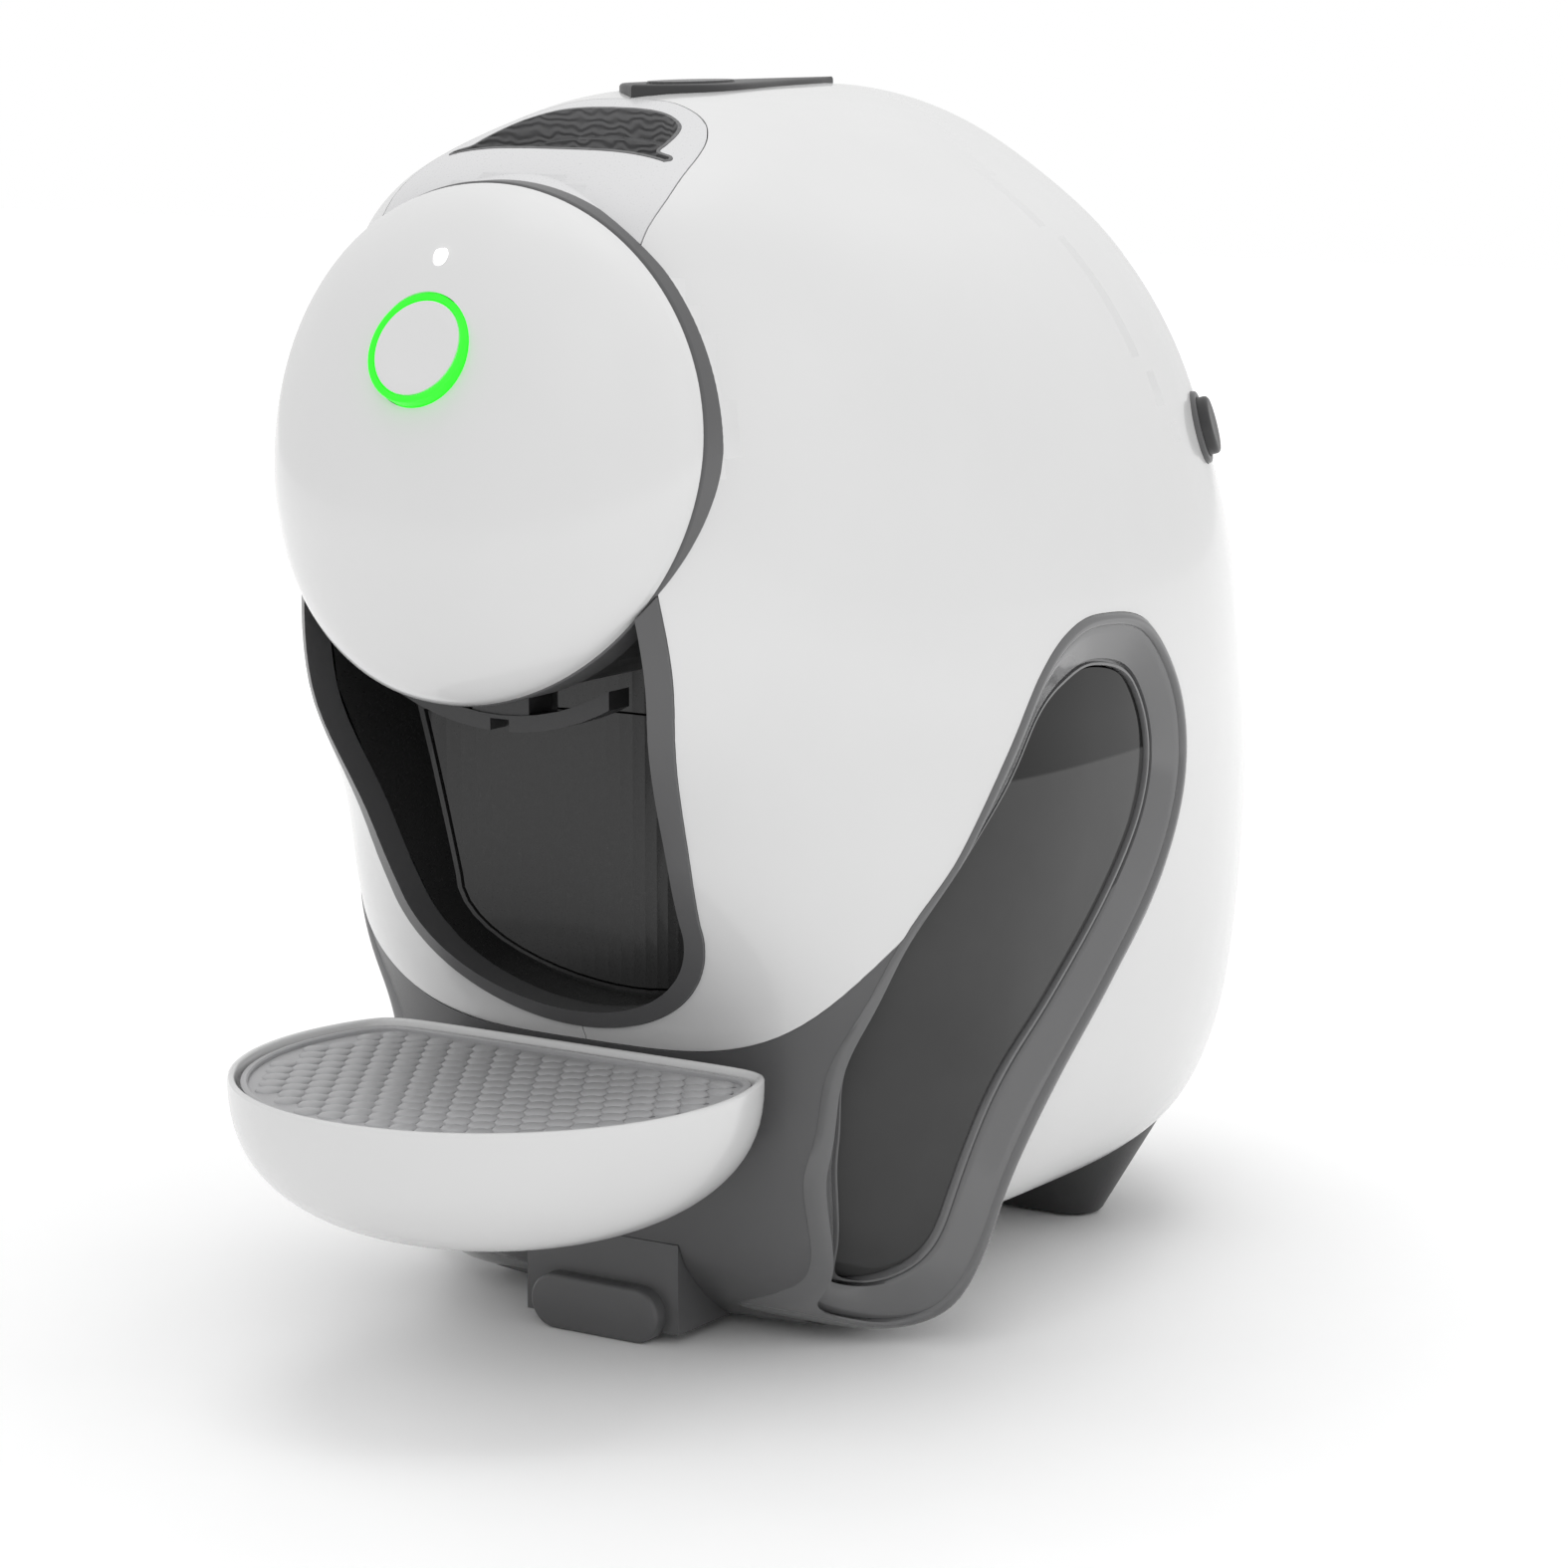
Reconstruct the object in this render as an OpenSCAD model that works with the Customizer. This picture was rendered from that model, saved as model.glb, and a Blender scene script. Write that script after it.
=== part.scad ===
// Pod coffee machine with an egg-shaped body, a round front cover and a side tank.
// Front faces -Y, the tank is on the +X side, and the feet stand on z = 0.

/* [Body] */
// Widest half width of the body
body_half_w = 106; // [104:0.5:107]
// Wall thickness of the outer shells
wall = 2.6; // [2.2:0.1:3]
// Facets around the body form
body_sides = 56; // [40:4:64]
// Roundness of the underside and the crown in plan, in front of the widest line
front_n = 3.5; // [3.3:0.1:3.7]
// Roundness of the body plan behind its widest line
rear_n = 2.3; // [2.2:0.1:2.4]

/* [Front cover] */
// Outer radius of the face ring
face_r = 66; // [65.5:0.1:66.5]
// Height of the face centre
face_z = 247; // [246:0.5:248]
// How far the cover domes forward of the face ring
dome_h = 28.5; // [26:0.5:29]
// Depth of the grey ring behind the cover
ring_depth = 8; // [7:0.5:9]
// Radius of the brew button
button_r = 12.6; // [12:0.1:12.8]
// Outer radius of the light ring around the brew button
light_r = 14.6; // [14.4:0.1:14.8]

/* [Cup bay] */
// Radius of the bay's back wall, about the middle of the drip tray
bay_r = 62; // [61.5:0.1:62.5]
// Half width of the bay opening near its top
bay_half_w = 58.5; // [58:0.1:59]
// Width of the grey trim around the bay
trim_w = 4.8; // [4.4:0.1:5]

/* [Drip tray] */
// Radius of the drip tray
tray_r = 70.5; // [70:0.1:71]
// Height of the drip tray's rim
tray_z = 83; // [82.5:0.1:83.5]
// Depth of the drip tray
tray_h = 43; // [41:0.5:44]

/* [Motion] */
// Travel of the brew button
brew_travel = 1.2; // [0.8:0.1:1.4]
// Travel of the top button
top_travel = 0.8; // [0.6:0.1:1]
// Travel of the power button
power_travel = 1.5; // [1:0.1:1.8]
// Stroke of the clamp that closes on a pod
clamp_stroke = 16; // [14:0.5:16]
// Pitch radius of the clamp's drive pinion
pinion_r = 6; // [5.5:0.1:6.5]

/* [Hidden] */
eps = 0.01;
tray_y = -121;              // middle of the drip tray and of the cup bay
tray_back_y = -86;          // flat rear edge of the tray
slot_y = -92;               // front edge of the pod slot
base_back_y = -21;          // rear edge of the grey base housing
seam_gap = 0.15;            // half the joint between the two side shells

// Lines of the body, from its underside to its crown:
// [height, front y, y of the widest line, rear y, half width, roundness in front]
// The bay and the face cut the pointed nose off the middle lines.
body_lines = [
    [14, -10, 75, 110, 6, front_n],
    [18, -45, 64, 152, 46, front_n],
    [30, -62, 40, 172, 78, front_n],
    [54, -72, 28, 183, body_half_w - 11, front_n],
    [90, -85, 22, 188, body_half_w - 3, 3.2],
    [140, -122, 18, 191, body_half_w, 2.2],
    [180, -150, 16, 186, body_half_w - 1, 2.05],
    [220, -155, 12, 174, body_half_w - 5, 2.05],
    [260, -154, 6, 154, body_half_w - 13, 2.1],
    [290, -130, -2, 130, body_half_w - 27, 2.6],
    [312, -109, -8, 103, body_half_w - 48, front_n],
    [326, -76, -10, 74, 40, front_n],
    [333, -52, -8, 44, 20, front_n],
    [334, -10, -5, 5, 3, front_n]];
// The base carries the same lines down to a wide flat underside.
base_lines = concat([
    [4, -52, 20, 150, 88, front_n],
    [14, -65, 21, 162, 94, front_n],
    [28, -75, 22, 172, 97, front_n],
    [56, -79, 24, 182, body_half_w - 6, front_n]],
    [for (i = [4 : 7]) body_lines[i]]);
mid_z = 170;                // height about which the body forms are inset

// Side outlines as [y, z]: the grey bezel and the window inside it.
bezel_line = [[12, 195], [38, 190], [57, 169], [60, 144], [47, 118], [22, 93], [-3.5, 69.5],
    [-21.5, 46.5], [-31, 23], [-37, 6], [-49, 4.5], [-64, 15], [-71.5, 46], [-71.5, 70],
    [-70.5, 94.5], [-64, 118], [-48, 138], [-32, 163], [-19, 181.5], [-5, 192]];
window_line = [[16, 180], [36, 174], [46, 156], [42, 137], [24, 115], [-2, 92], [-23, 73],
    [-34, 50], [-40, 29], [-49, 19], [-58, 26], [-62, 46], [-63.5, 68.5], [-62.5, 89.5],
    [-56.5, 114], [-39.5, 135.5], [-24, 153], [-12, 169.5], [0.5, 177]];
// Half outline of the top panel in plan, from the face to its rear middle.
panel_line = [[42, -112], [42.5, -104], [41.5, -96], [39, -84], [35, -74], [28, -65.5],
    [17, -60.5], [8, -59], [0, -58.6]];
// Half outline of the pod slot in plan: a thin wing for the pod's rim and a bulge behind it.
slot_line = [[34, -92.5], [35.2, -90.8], [34, -88.9], [30, -88.4], [29.4, -84], [28, -77],
    [25, -71.5], [18, -67.6], [9, -66.2], [0, -65.8]];

// Catmull-Rom point at t along the points p.
function spline(p, t) =
    let (n = len(p) - 1, i = min(floor(t), n - 1), f = t - i,
        b = p[i], c = p[i + 1],
        a = i > 0 ? p[i - 1] : 2 * b - c,
        d = i + 2 <= n ? p[i + 2] : 2 * c - b)
    b + 0.5 * f * (c - a + f * (2 * a - 5 * b + 4 * c - d + f * (3 * (b - c) + d - a)));
function smooth(p, steps) =
    [for (k = [0 : (len(p) - 1) * steps]) spline(p, k / steps)];
function loop_smooth(p, steps) =
    let (n = len(p), q = [for (i = [0 : n + 2]) p[(i + n - 1) % n]])
    [for (k = [0 : n * steps - 1]) spline(q, 1 + k / steps)];
function mirrored(p) =
    concat(p, [for (i = [len(p) - 2 : -1 : 0]) [-p[i].x, p[i].y]]);

// One body line moved inward by g on every side.
function inset(s, g) =
    [mid_z + (s[0] - mid_z) * (1 - g / mid_z), s[1] + g, s[2], s[3] - g, max(s[4] - g, 1), s[5]];
function plan_point(s, a) =
    let (n = sin(a) < 0 ? s[5] : rear_n,
        r = pow(pow(abs(cos(a)), n) + pow(abs(sin(a)), n), -1 / n),
        depth = sin(a) < 0 ? s[2] - s[1] : s[3] - s[2])
    [s[4] * r * cos(a), s[2] + depth * r * sin(a), s[0]];

// Closed solid through the given lines, inset by g.
module form(lines, g = 0, steps = 2, n = body_sides) {
    rows = smooth([for (s = lines) inset(s, g)], steps);
    m = len(rows);
    points = [for (s = rows) for (j = [0 : n - 1]) plan_point(s, 360 * j / n)];
    sides = [for (k = [0 : m - 2]) for (j = [0 : n - 1])
        let (a = k * n + j, b = k * n + (j + 1) % n)
        each [[a, a + n, b + n], [a, b + n, b]]];
    bottom = [[for (j = [0 : n - 1]) j]];
    top = [[for (j = [n - 1 : -1 : 0]) (m - 1) * n + j]];
    polyhedron(points, concat(bottom, sides, top));
}
// Coarser inner copy of a form, for cavities.
module hollow(lines, g) { form(lines, g, 2, 32); }
// Turns its children into one smooth mesh solid.
module one_mesh() { resize([0, 0, 0]) children(); }
// Extrudes a [y, z] outline along x from x0 to x1.
module side_prism(line, x0, x1)
    translate([x0, 0, 0]) rotate([90, 0, 90]) linear_extrude(x1 - x0) polygon(line);
// Extrudes an [x, z] outline along y from y0 to y1.
module front_prism(line, y0, y1)
    translate([0, y1, 0]) rotate([90, 0, 0]) linear_extrude(y1 - y0) polygon(line);
module block(x0, x1, y0, y1, z0, z1)
    translate([x0, y0, z0]) cube([x1 - x0, y1 - y0, z1 - z0]);
module rod_x(r, x0, x1, sides = 48)
    translate([x0, 0, 0]) rotate([0, 90, 0]) cylinder(r = r, h = x1 - x0, $fn = sides);
module rod_y(r, y0, y1, sides = 48)
    translate([0, y1, 0]) rotate([90, 0, 0]) cylinder(r = r, h = y1 - y0, $fn = sides);

// ---- shared outlines --------------------------------------------------------------
// The face is a circle in front view, leaning back at its top and wrapped a little
// around the body.
function face_y(x, v) = -129 + (v < 0 ? 0.16 : 0.136) * v + 0.0017 * x * x;
function ring_back(x, v) = max(face_y(x, v) + ring_depth, v < 0 ? -123 : -200);
function dome_y(x, v, r, h) = face_y(x, v) - h * sqrt(max(0, 1 - (x * x + v * v) / (r * r)));

// Disc in the face, with its front and back surfaces given as functions of x and of the
// height above the face centre.
module face_disc(r1, front, back, rings = 5, n = 64) {
    spots = concat([[0, 0]], [for (k = [1 : rings]) for (j = [0 : n - 1])
        r1 * sin(90 * k / rings) * [cos(360 * j / n), sin(360 * j / n)]]);
    m = len(spots);
    last = 1 + (rings - 1) * n;
    points = concat([for (p = spots) [p.x, front(p.x, p.y), face_z + p.y]],
        [for (p = spots) [p.x, back(p.x, p.y), face_z + p.y]]);
    hub = [for (j = [0 : n - 1]) let (a = 1 + j, b = 1 + (j + 1) % n)
        each [[0, b, a], [m, m + a, m + b]]];
    skin = [for (k = [1 : rings - 1]) for (j = [0 : n - 1])
        let (a = 1 + (k - 1) * n + j, b = 1 + (k - 1) * n + (j + 1) % n)
        each [[a, b, b + n], [a, b + n, a + n],
            [m + b + n, m + b, m + a], [m + a + n, m + b + n, m + a]]];
    edge = [for (j = [0 : n - 1]) let (a = last + j, b = last + (j + 1) % n)
        each [[a, b, b + m], [a, b + m, a + m]]];
    polyhedron(points, concat(hub, skin, edge));
}
// Everything in front of the shells' front edge, behind the face ring.
module face_cut() {
    face_disc(face_r, function (x, v) -200, function (x, v) ring_back(x, v), 1);
}
// Drum behind the face ring that carries the ring's outline back into the body.
module snout(g = 0) {
    translate([0, -88 - g, face_z]) rotate([90, 0, 0])
        cylinder(r1 = 69.6 - g, r2 = 66 - g, h = 25.5 - 2 * g, $fn = 64);
}
module drum(r) { translate([0, 0, face_z]) rod_y(r, -160, 0, 64); }

// Bay opening in front view, grown by g: straight sides over a half ellipse.
bay_low_z = 123;
bay_bottom_z = 87;
function bay_outline(g) =
    let (w = 50 + g, h = bay_low_z - bay_bottom_z + g)
    concat([for (a = [180 : 7.5 : 360]) [w * cos(a), bay_low_z + h * sin(a)]],
        [for (p = [[bay_half_w, 187], [bay_half_w - 0.5, 199], [bay_half_w - 2.5, 214]])
            p + [g, 0]],
        [for (p = [[-bay_half_w + 2.5, 214], [-bay_half_w + 0.5, 199], [-bay_half_w, 187]])
            p - [g, 0]]);
module bay_mouth(g, y1) { front_prism(bay_outline(g), -160, y1); }

// The lower edge of the white shells in front view, as [x, z].
function lip_z(x) = 83 + 46 * pow(abs(x) / 96, 3.8);
module base_zone(y1) {
    lip = [for (x = [-98 : 7 : 98]) [x, lip_z(x)]];
    front_prism(concat([[-120, 0]], [[-120, lip_z(98)]], lip,
        [[120, lip_z(98)], [120, 0]]), -100, y1);
}
module panel_prism(z0, z1)
    translate([0, 0, z0]) linear_extrude(z1 - z0)
        polygon(concat(mirrored(smooth(panel_line, 2)), [[-42, -150], [42, -150]]));
module slot_prism(z0, z1, g = 0)
    translate([0, 0, z0]) linear_extrude(z1 - z0) offset(delta = -g)
        polygon(concat([[0, slot_y - 0.6]], mirrored(slot_line)));

// Places its children at the brew button, with +Z along the outward normal.
module at_brew_button() translate([0, -152, 273]) rotate([64.5, 0, 0]) children();
// Places its children at the power button on the rear right, +Z outward.
module at_power_button() translate([83, 106, 236]) rotate([0, 0, 23]) rotate([0, 75, 0]) children();

// ---- outer shells -----------------------------------------------------------------
module shell_half(side) {
    one_mesh() difference() {
        union() {
            form(body_lines);
            snout();
        }
        hollow(body_lines, wall);
        snout(wall);
        block(side > 0 ? -120 : -seam_gap, side > 0 ? seam_gap : 120, -200, 200, 0, 340);
        face_cut();
        bay_mouth(0, 0);
        panel_prism(290, 340);
        base_zone(base_back_y);
        side_prism(loop_smooth(bezel_line, 2), side > 0 ? 50 : -120, side > 0 ? 120 : -50);
        translate([0, -30, 320]) linear_extrude(20) polygon(oval(8.6, 17.6));
        if (side > 0) {
            at_power_button() cylinder(r = 10.7, h = 30, center = true, $fn = 48);
            block(18.7, 51.3, 150, 200, 32.7, 57.3);
        }
    }
}
module side_shell_right() { color("white") shell_half(1); }
module side_shell_left() { color("white") shell_half(-1); }

module top_panel() {
    color("gainsboro") one_mesh() difference() {
        intersection() {
            union() {
                form(body_lines);
                snout();
            }
            panel_prism(285, 340);
        }
        hollow(body_lines, 3);
        snout(3);
        face_cut();
        slot_prism(285, 340);
    }
}
// Thin walls that line the slot and lead the pod down.
module slot_liner() {
    color("dimgray") one_mesh() difference() {
        intersection() {
            slot_prism(294, 340, 0.1);
            form(body_lines, 0.5);
        }
        slot_prism(290, 345, 1);
    }
}
module face_ring() {
    color("gray") one_mesh() difference() {
        face_disc(face_r, function (x, v) face_y(x, v), function (x, v) ring_back(x, v), 5);
        face_disc(face_r - 5, function (x, v) -200, function (x, v) -90, 1);
    }
}
cover_r = 65.5;
module front_cover() {
    color("whitesmoke") one_mesh() difference() {
        face_disc(cover_r - 0.05, function (x, v) dome_y(x, v, cover_r, dome_h),
            function (x, v) min(face_y(x, v) - 0.2, dome_y(x, v, cover_r - 4, dome_h - wall)),
            9);
        at_brew_button() cylinder(r = light_r + 0.2, h = 30, center = true, $fn = 48);
        translate([0, 0, 295]) rod_y(2.2, -150, -110, 24);
    }
}
// The button, its collar light and its springs stand along the dome's normal.
module brew_button() {
    color("whitesmoke") at_brew_button() {
        translate([0, 0, -2.6]) cylinder(r = button_r, h = 3.4, $fn = 96);
        translate([0, 0, -7]) cylinder(r = 3, h = 4.5, $fn = 32);
    }
}
module light_ring() {
    color("lime") at_brew_button() difference() {
        translate([0, 0, -5]) cylinder(r = light_r, h = 5.8, $fn = 96);
        translate([0, 0, -6]) cylinder(r = button_r + 0.3, h = 8, $fn = 96);
    }
}
module status_light() {
    color("white") translate([0, 0, 295]) rod_y(2, -141.9, -137);
}

// ---- cup bay ------------------------------------------------------------------------
module bay_trim() {
    color("gray") one_mesh() difference() {
        intersection() {
            form(body_lines, -0.6);
            bay_mouth(-0.1, 0);
            block(-70, 70, -150, -60, 80, 216);
        }
        form(body_lines, 7);
        bay_mouth(-trim_w, 0);
        drum(face_r + 0.3);
    }
}
// Space for the cup: the bay opening carried back to a round rear wall, below the head.
module bay_space(g) {
    intersection() {
        bay_mouth(g - trim_w, -40);
        translate([0, tray_y, 80]) cylinder(r = bay_r + g, h = 140, $fn = 96);
    }
}
bin_top = 168;
// Outline of the used-pod bin, which slides out through the bay opening.
module bin_block(g, y0, y1, z1) {
    intersection() {
        front_prism(bay_outline(-trim_w - 1.4 - g), y0, y1);
        block(-80, 80, y0 - 1, y1 + 1, 80, z1);
    }
}
module bay_liner() {
    color("black") one_mesh() difference() {
        intersection() {
            bay_space(2);
            form(body_lines, 7.1);
        }
        bay_space(0);
        drum(face_r + 0.3);
        bin_block(-0.6, -100, -30, bin_top + 0.6);
    }
}
// Underside of the head, concentric with the face, with the curved lip below it.
module outlet_housing() {
    color("dimgray") one_mesh() difference() {
        union() {
            intersection() {
                drum(65);
                bay_space(-0.3);
                form(body_lines, 7.4);
                block(-60, 60, -122, -40, 175, 214);
            }
            intersection() {
                translate([0, 0, face_z]) difference() {
                    rod_y(75.3, -119, -110, 72);
                    rod_y(71, -120, -109, 72);
                }
                block(-34.5, 34.5, -130, -100, 150, 200);
            }
            block(-9, 9, -118.5, -108, 175, 184);
        }
        drum(62.6);
        translate([0, -100, 165]) cylinder(r = 4.05, h = 30, $fn = 48);
        block(-3, 3, -130, -112, 160, 175);
    }
}
module coffee_outlet() {
    color("dimgray") translate([0, -100, 0]) difference() {
        union() {
            translate([0, 0, 172]) cylinder(r = 4, h = 38, $fn = 48);
            translate([0, 0, 186]) cylinder(r = 8, h = 3, $fn = 48);
        }
        translate([0, 0, 171]) cylinder(r = 2.2, h = 40, $fn = 48);
    }
}

// ---- base, feet ------------------------------------------------------------------------
module base_housing() {
    color("gray") one_mesh() difference() {
        intersection() {
            form(base_lines);
            base_zone(base_back_y - 0.1);
        }
        hollow(base_lines, wall);
        bay_mouth(0, 0);
        for (side = [-1, 1])
            side_prism(loop_smooth(bezel_line, 2), side > 0 ? 50 : -120, side > 0 ? 120 : -50);
        block(-25.2, 25.2, -90, -49.8, 0, 28.2);
        block(-17.3, 17.3, -50, -42.7, 0, 8);
        for (x = [-120, 62]) block(x, x + 58, -45, 0, 0, 48);
        for (x = [-40, 40]) translate([x, -34, 0]) cylinder(r = 4.2, h = 12, $fn = 32);
        for (x = [-30, 30]) translate([x, 0, 58]) rod_y(4.4, -90, -50, 32);
    }
}
module base_plate() {
    color("dimgray") difference() {
        translate([0, 0, 8]) linear_extrude(2.8)
            polygon(mirrored([[0, -49.6], [40, -49.6], [46, -44],
                [49, -38], [49, base_back_y], [0, base_back_y]]));
        for (x = [-40, 40]) translate([x, -34, 0]) cylinder(r = 2.2, h = 20, $fn = 32);
        for (x = [-10, 10]) translate([x, -46.5, 0]) cylinder(r = 1.8, h = 20, $fn = 32);
    }
}
foot_r = 7.7;
// Rounded bar that carries the front of the machine, on a straight block below the base.
module front_foot() {
    color("gray") difference() {
        union() {
            hull() for (x = [-13.2, 13.2]) translate([x, 0, foot_r]) rod_y(foot_r, -79.5, -74, 40);
            block(-25, 25, -75, -50, 3, 28);
            block(-17, 17, -50.4, -43, 3, 7.9);
        }
        for (x = [-10, 10]) translate([x, -46.5, 0]) cylinder(r = 1.8, h = 20, $fn = 32);
    }
}
pad_x = 44;
pad_y = 106;
// Tapered bar with round ends below the rear of the body.
module rear_foot() {
    color("dimgray") one_mesh() difference() {
        hull() for (x = [-pad_x, pad_x]) translate([x, pad_y, 0.8])
            cylinder(r1 = 9, r2 = 28, h = 33, $fn = 48);
        form(body_lines, -0.05);
        for (x = [-pad_x, pad_x]) translate([x, pad_y, 0]) cylinder(r = 6.2, h = 2.3, $fn = 48);
    }
}
module foot_pads() {
    color("black") for (x = [-pad_x, pad_x])
        translate([x, pad_y, 0]) cylinder(r = 6, h = 2.25, $fn = 48);
}

// ---- sides and tank ----------------------------------------------------------------------
side_lines = concat([for (i = [0 : 3]) base_lines[i]],
    [for (i = [4 : len(body_lines) - 1]) body_lines[i]]);
module bezel(side) {
    one_mesh() difference() {
        intersection() {
            form(side_lines, -0.9);
            side_prism(loop_smooth(bezel_line, 2), side > 0 ? 50 : -120, side > 0 ? 120 : -50);
        }
        hollow(side_lines, 9);
        side_prism(loop_smooth(window_line, 2), side > 0 ? 40 : -130, side > 0 ? 130 : -40);
        base_cut(side);
    }
}
// Keeps the bezel clear of the base housing's front corner below it.
module base_cut(side) { block(side > 0 ? 40 : -52, side > 0 ? 52 : -40, -70, 0, 0, 60); }
module tank_bezel() { color("gray") bezel(1); }
module cover_bezel() { color("gray") bezel(-1); }
module side_cover() {
    color("dimgray") one_mesh() difference() {
        intersection() {
            form(side_lines, 5);
            side_prism(loop_smooth(window_line, 2), -120, -50);
        }
        hollow(side_lines, 8);
    }
}
// Outline shrunk towards its own centre line by g.
function shrink_line(p, g) =
    let (n = len(p))
    [for (i = [0 : n - 1]) let (t = p[(i + 1) % n] - p[(i + n - 1) % n])
        p[i] + g * [t.y, -t.x] / norm(t)];
tank_x0 = 54;
module water_tank() {
    color([0.25, 0.25, 0.27, 0.6]) one_mesh() difference() {
        intersection() {
            form(side_lines, 6.5);
            side_prism(loop_smooth(shrink_line(window_line, 0.6), 2), tank_x0, 120);
        }
        intersection() {
            hollow(side_lines, 9);
            side_prism(loop_smooth(shrink_line(window_line, 3), 2), tank_x0 + 2.4, 120);
        }
        block(64, 86, 4, 26, 165, 190);
        translate([0, -48.5, 41]) rod_x(4.5, 50, 58);
    }
}
module tank_lid() {
    color("dimgray") difference() {
        block(64.4, 85.6, 4.4, 25.6, 168, 175.5);
        block(68, 82, 8, 22, 173, 177);
    }
}
module tank_valve() {
    color("whitesmoke") translate([0, -48.5, 41]) difference() {
        union() {
            rod_x(4.4, 47, 58);
            rod_x(6.2, 56.5, 58.5);
        }
        rod_x(1.6, 46, 60);
    }
}
module tank_dock() {
    color("black") difference() {
        block(40, 53.4, -55.5, -41.5, 32, 50);
        translate([0, -48.5, 41]) rod_x(6, 42, 60);
    }
}
module dock_seal() {
    color("darkred") translate([0, -48.5, 41]) difference() {
        rod_x(6, 48, 52.5);
        rod_x(4.7, 45, 54);
    }
}

// ---- top pad and buttons -------------------------------------------------------------------
function oval(rx, ry) = [for (a = [0 : 12 : 348]) [rx * cos(a), ry * sin(a)]];
function pad_line() = mirrored([[0, -58], [9, -50], [14, -42], [15, -30], [13, -16], [9, 2],
    [4.5, 24], [0, 41]]);
module top_pad() {
    color("dimgray") one_mesh() difference() {
        translate([0, 0, 331]) linear_extrude(4.4) polygon(pad_line());
        form(body_lines, -0.02);
        translate([0, -30, 320]) linear_extrude(20) polygon(oval(8.4, 17.4));
    }
}
module top_button() {
    color("gray") translate([0, -30, 329]) linear_extrude(7) polygon(oval(8, 17));
}
module power_button() {
    color("dimgray") at_power_button() translate([0, 0, -5]) cylinder(r = 8.4, h = 9.5, $fn = 64);
}
module power_collar() {
    color("gray") at_power_button() difference() {
        translate([0, 0, -5]) cylinder(r = 10.5, h = 6.2, $fn = 64);
        translate([0, 0, -6]) cylinder(r = 8.7, h = 12, $fn = 64);
    }
}

// ---- drip tray -------------------------------------------------------------------------------
// Bowl below the rim, inset by g, cut flat at its rear.
module bowl(g) {
    depth = tray_h - g;
    profile = [for (k = [0 : 12]) let (d = depth * sin(7.5 * k))
        [(tray_r - g) * pow(1 - pow(d / depth, 2.5), 0.4), tray_z - d]];
    intersection() {
        translate([0, tray_y, 0]) rotate_extrude($fn = 60)
            polygon(concat([[0, tray_z + g]], [[tray_r - g, tray_z + g]], profile));
        block(-90, 90, -220, tray_back_y - g, 20, 100);
    }
}
module drip_tray() {
    color("white") one_mesh() {
        difference() {
            bowl(0);
            bowl(2.6);
        }
        difference() {
            intersection() {
                bowl(2.5);
                block(-90, 90, -220, 0, 76.5, 79);
            }
            translate([0, tray_y, 70]) cylinder(r = tray_r - 7, h = 20, $fn = 72);
        }
    }
}
module drip_grid() {
    color("silver") difference() {
        intersection() {
            translate([0, tray_y, 79.1]) cylinder(r = tray_r - 3.4, h = 2.4, $fn = 96);
            block(-90, 90, -220, tray_back_y - 3.4, 70, 90);
        }
        for (row = [0 : 6]) for (k = [-3 : 3]) {
            x = (k + (row % 2) / 2) * 15;
            y = tray_y - 42 + row * 11.5;
            if (norm([x, y - tray_y]) < 58)
                translate([x, y, 70]) cylinder(r = 1.8, h = 20, $fn = 16);
        }
    }
}
// Plate and two prongs on the tray that hook into the base housing.
module tray_bracket() {
    color("dimgray") {
        block(-36, 36, tray_back_y, tray_back_y + 2.5, 50, 66);
        for (x = [-30, 30]) translate([x, 0, 58]) rod_y(4, tray_back_y + 2.5, -62);
    }
}

// ---- used pods -------------------------------------------------------------------------------
module pod_bin() {
    color("black") one_mesh() difference() {
        bin_block(0, -90, -4, bin_top);
        translate([0, tray_y, 80]) cylinder(r = bay_r, h = 120, $fn = 96);
        difference() {
            bin_block(2.4, -100, -6.4, bin_top + 10);
            translate([0, tray_y, 80]) cylinder(r = bay_r + 2.4, h = 120, $fn = 96);
        }
    }
}
chute_line = [[-92.5, 222], [-30, 222], [-8, 171], [-56, 171], [-56, 190]];
chute_space = [[-89.3, 223], [-32, 223], [-10.2, 170], [-53.8, 170], [-53.8, 191]];
module pod_chute() {
    color("dimgray") difference() {
        side_prism(chute_line, -40, 40);
        side_prism(chute_space, -38, 38);
    }
}

// ---- brewing parts ------------------------------------------------------------------------------
chassis_x = 48;
pod_z = 258;
guide_x = 41;
module chassis() {
    color("darkgray") {
        difference() {
            block(-46, 46, -44, 120, 27, 30);
            for (x = [-40, 40]) translate([x, -34, 0]) cylinder(r = 1.9, h = 40, $fn = 32);
        }
        for (x = [-40, 40]) translate([x, -34, 10.9]) difference() {
            cylinder(r = 4.5, h = 16.1, $fn = 32);
            translate([0, 0, -1]) cylinder(r = 1.9, h = 20, $fn = 32);
        }
        block(-20, 40, 117, 120, 30, 70);
        for (side = [-1, 1]) scale([side, 1, 1]) {
            block(45, chassis_x + 3, 4, 20, 27, 30);
            block(chassis_x, chassis_x + 3, 4, 20, 30, 270);
            block(chassis_x, chassis_x + 3, -110, 4, 230, 270);
            block(37, chassis_x, -31, -24, 254.2, 264);
        }
        block(-48, 48, 4, 10, 190, 215);
        block(-30, 30, 10, 80, 190, 193);
        block(-48, 48, 4, 8, 86, 92.2);
        block(-20, 20, -52, 4, 89, 92.2);
        for (z = [120, 160]) translate([0, 12, z]) rod_x(3, -70.4, -chassis_x - 3, 32);
    }
}
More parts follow.
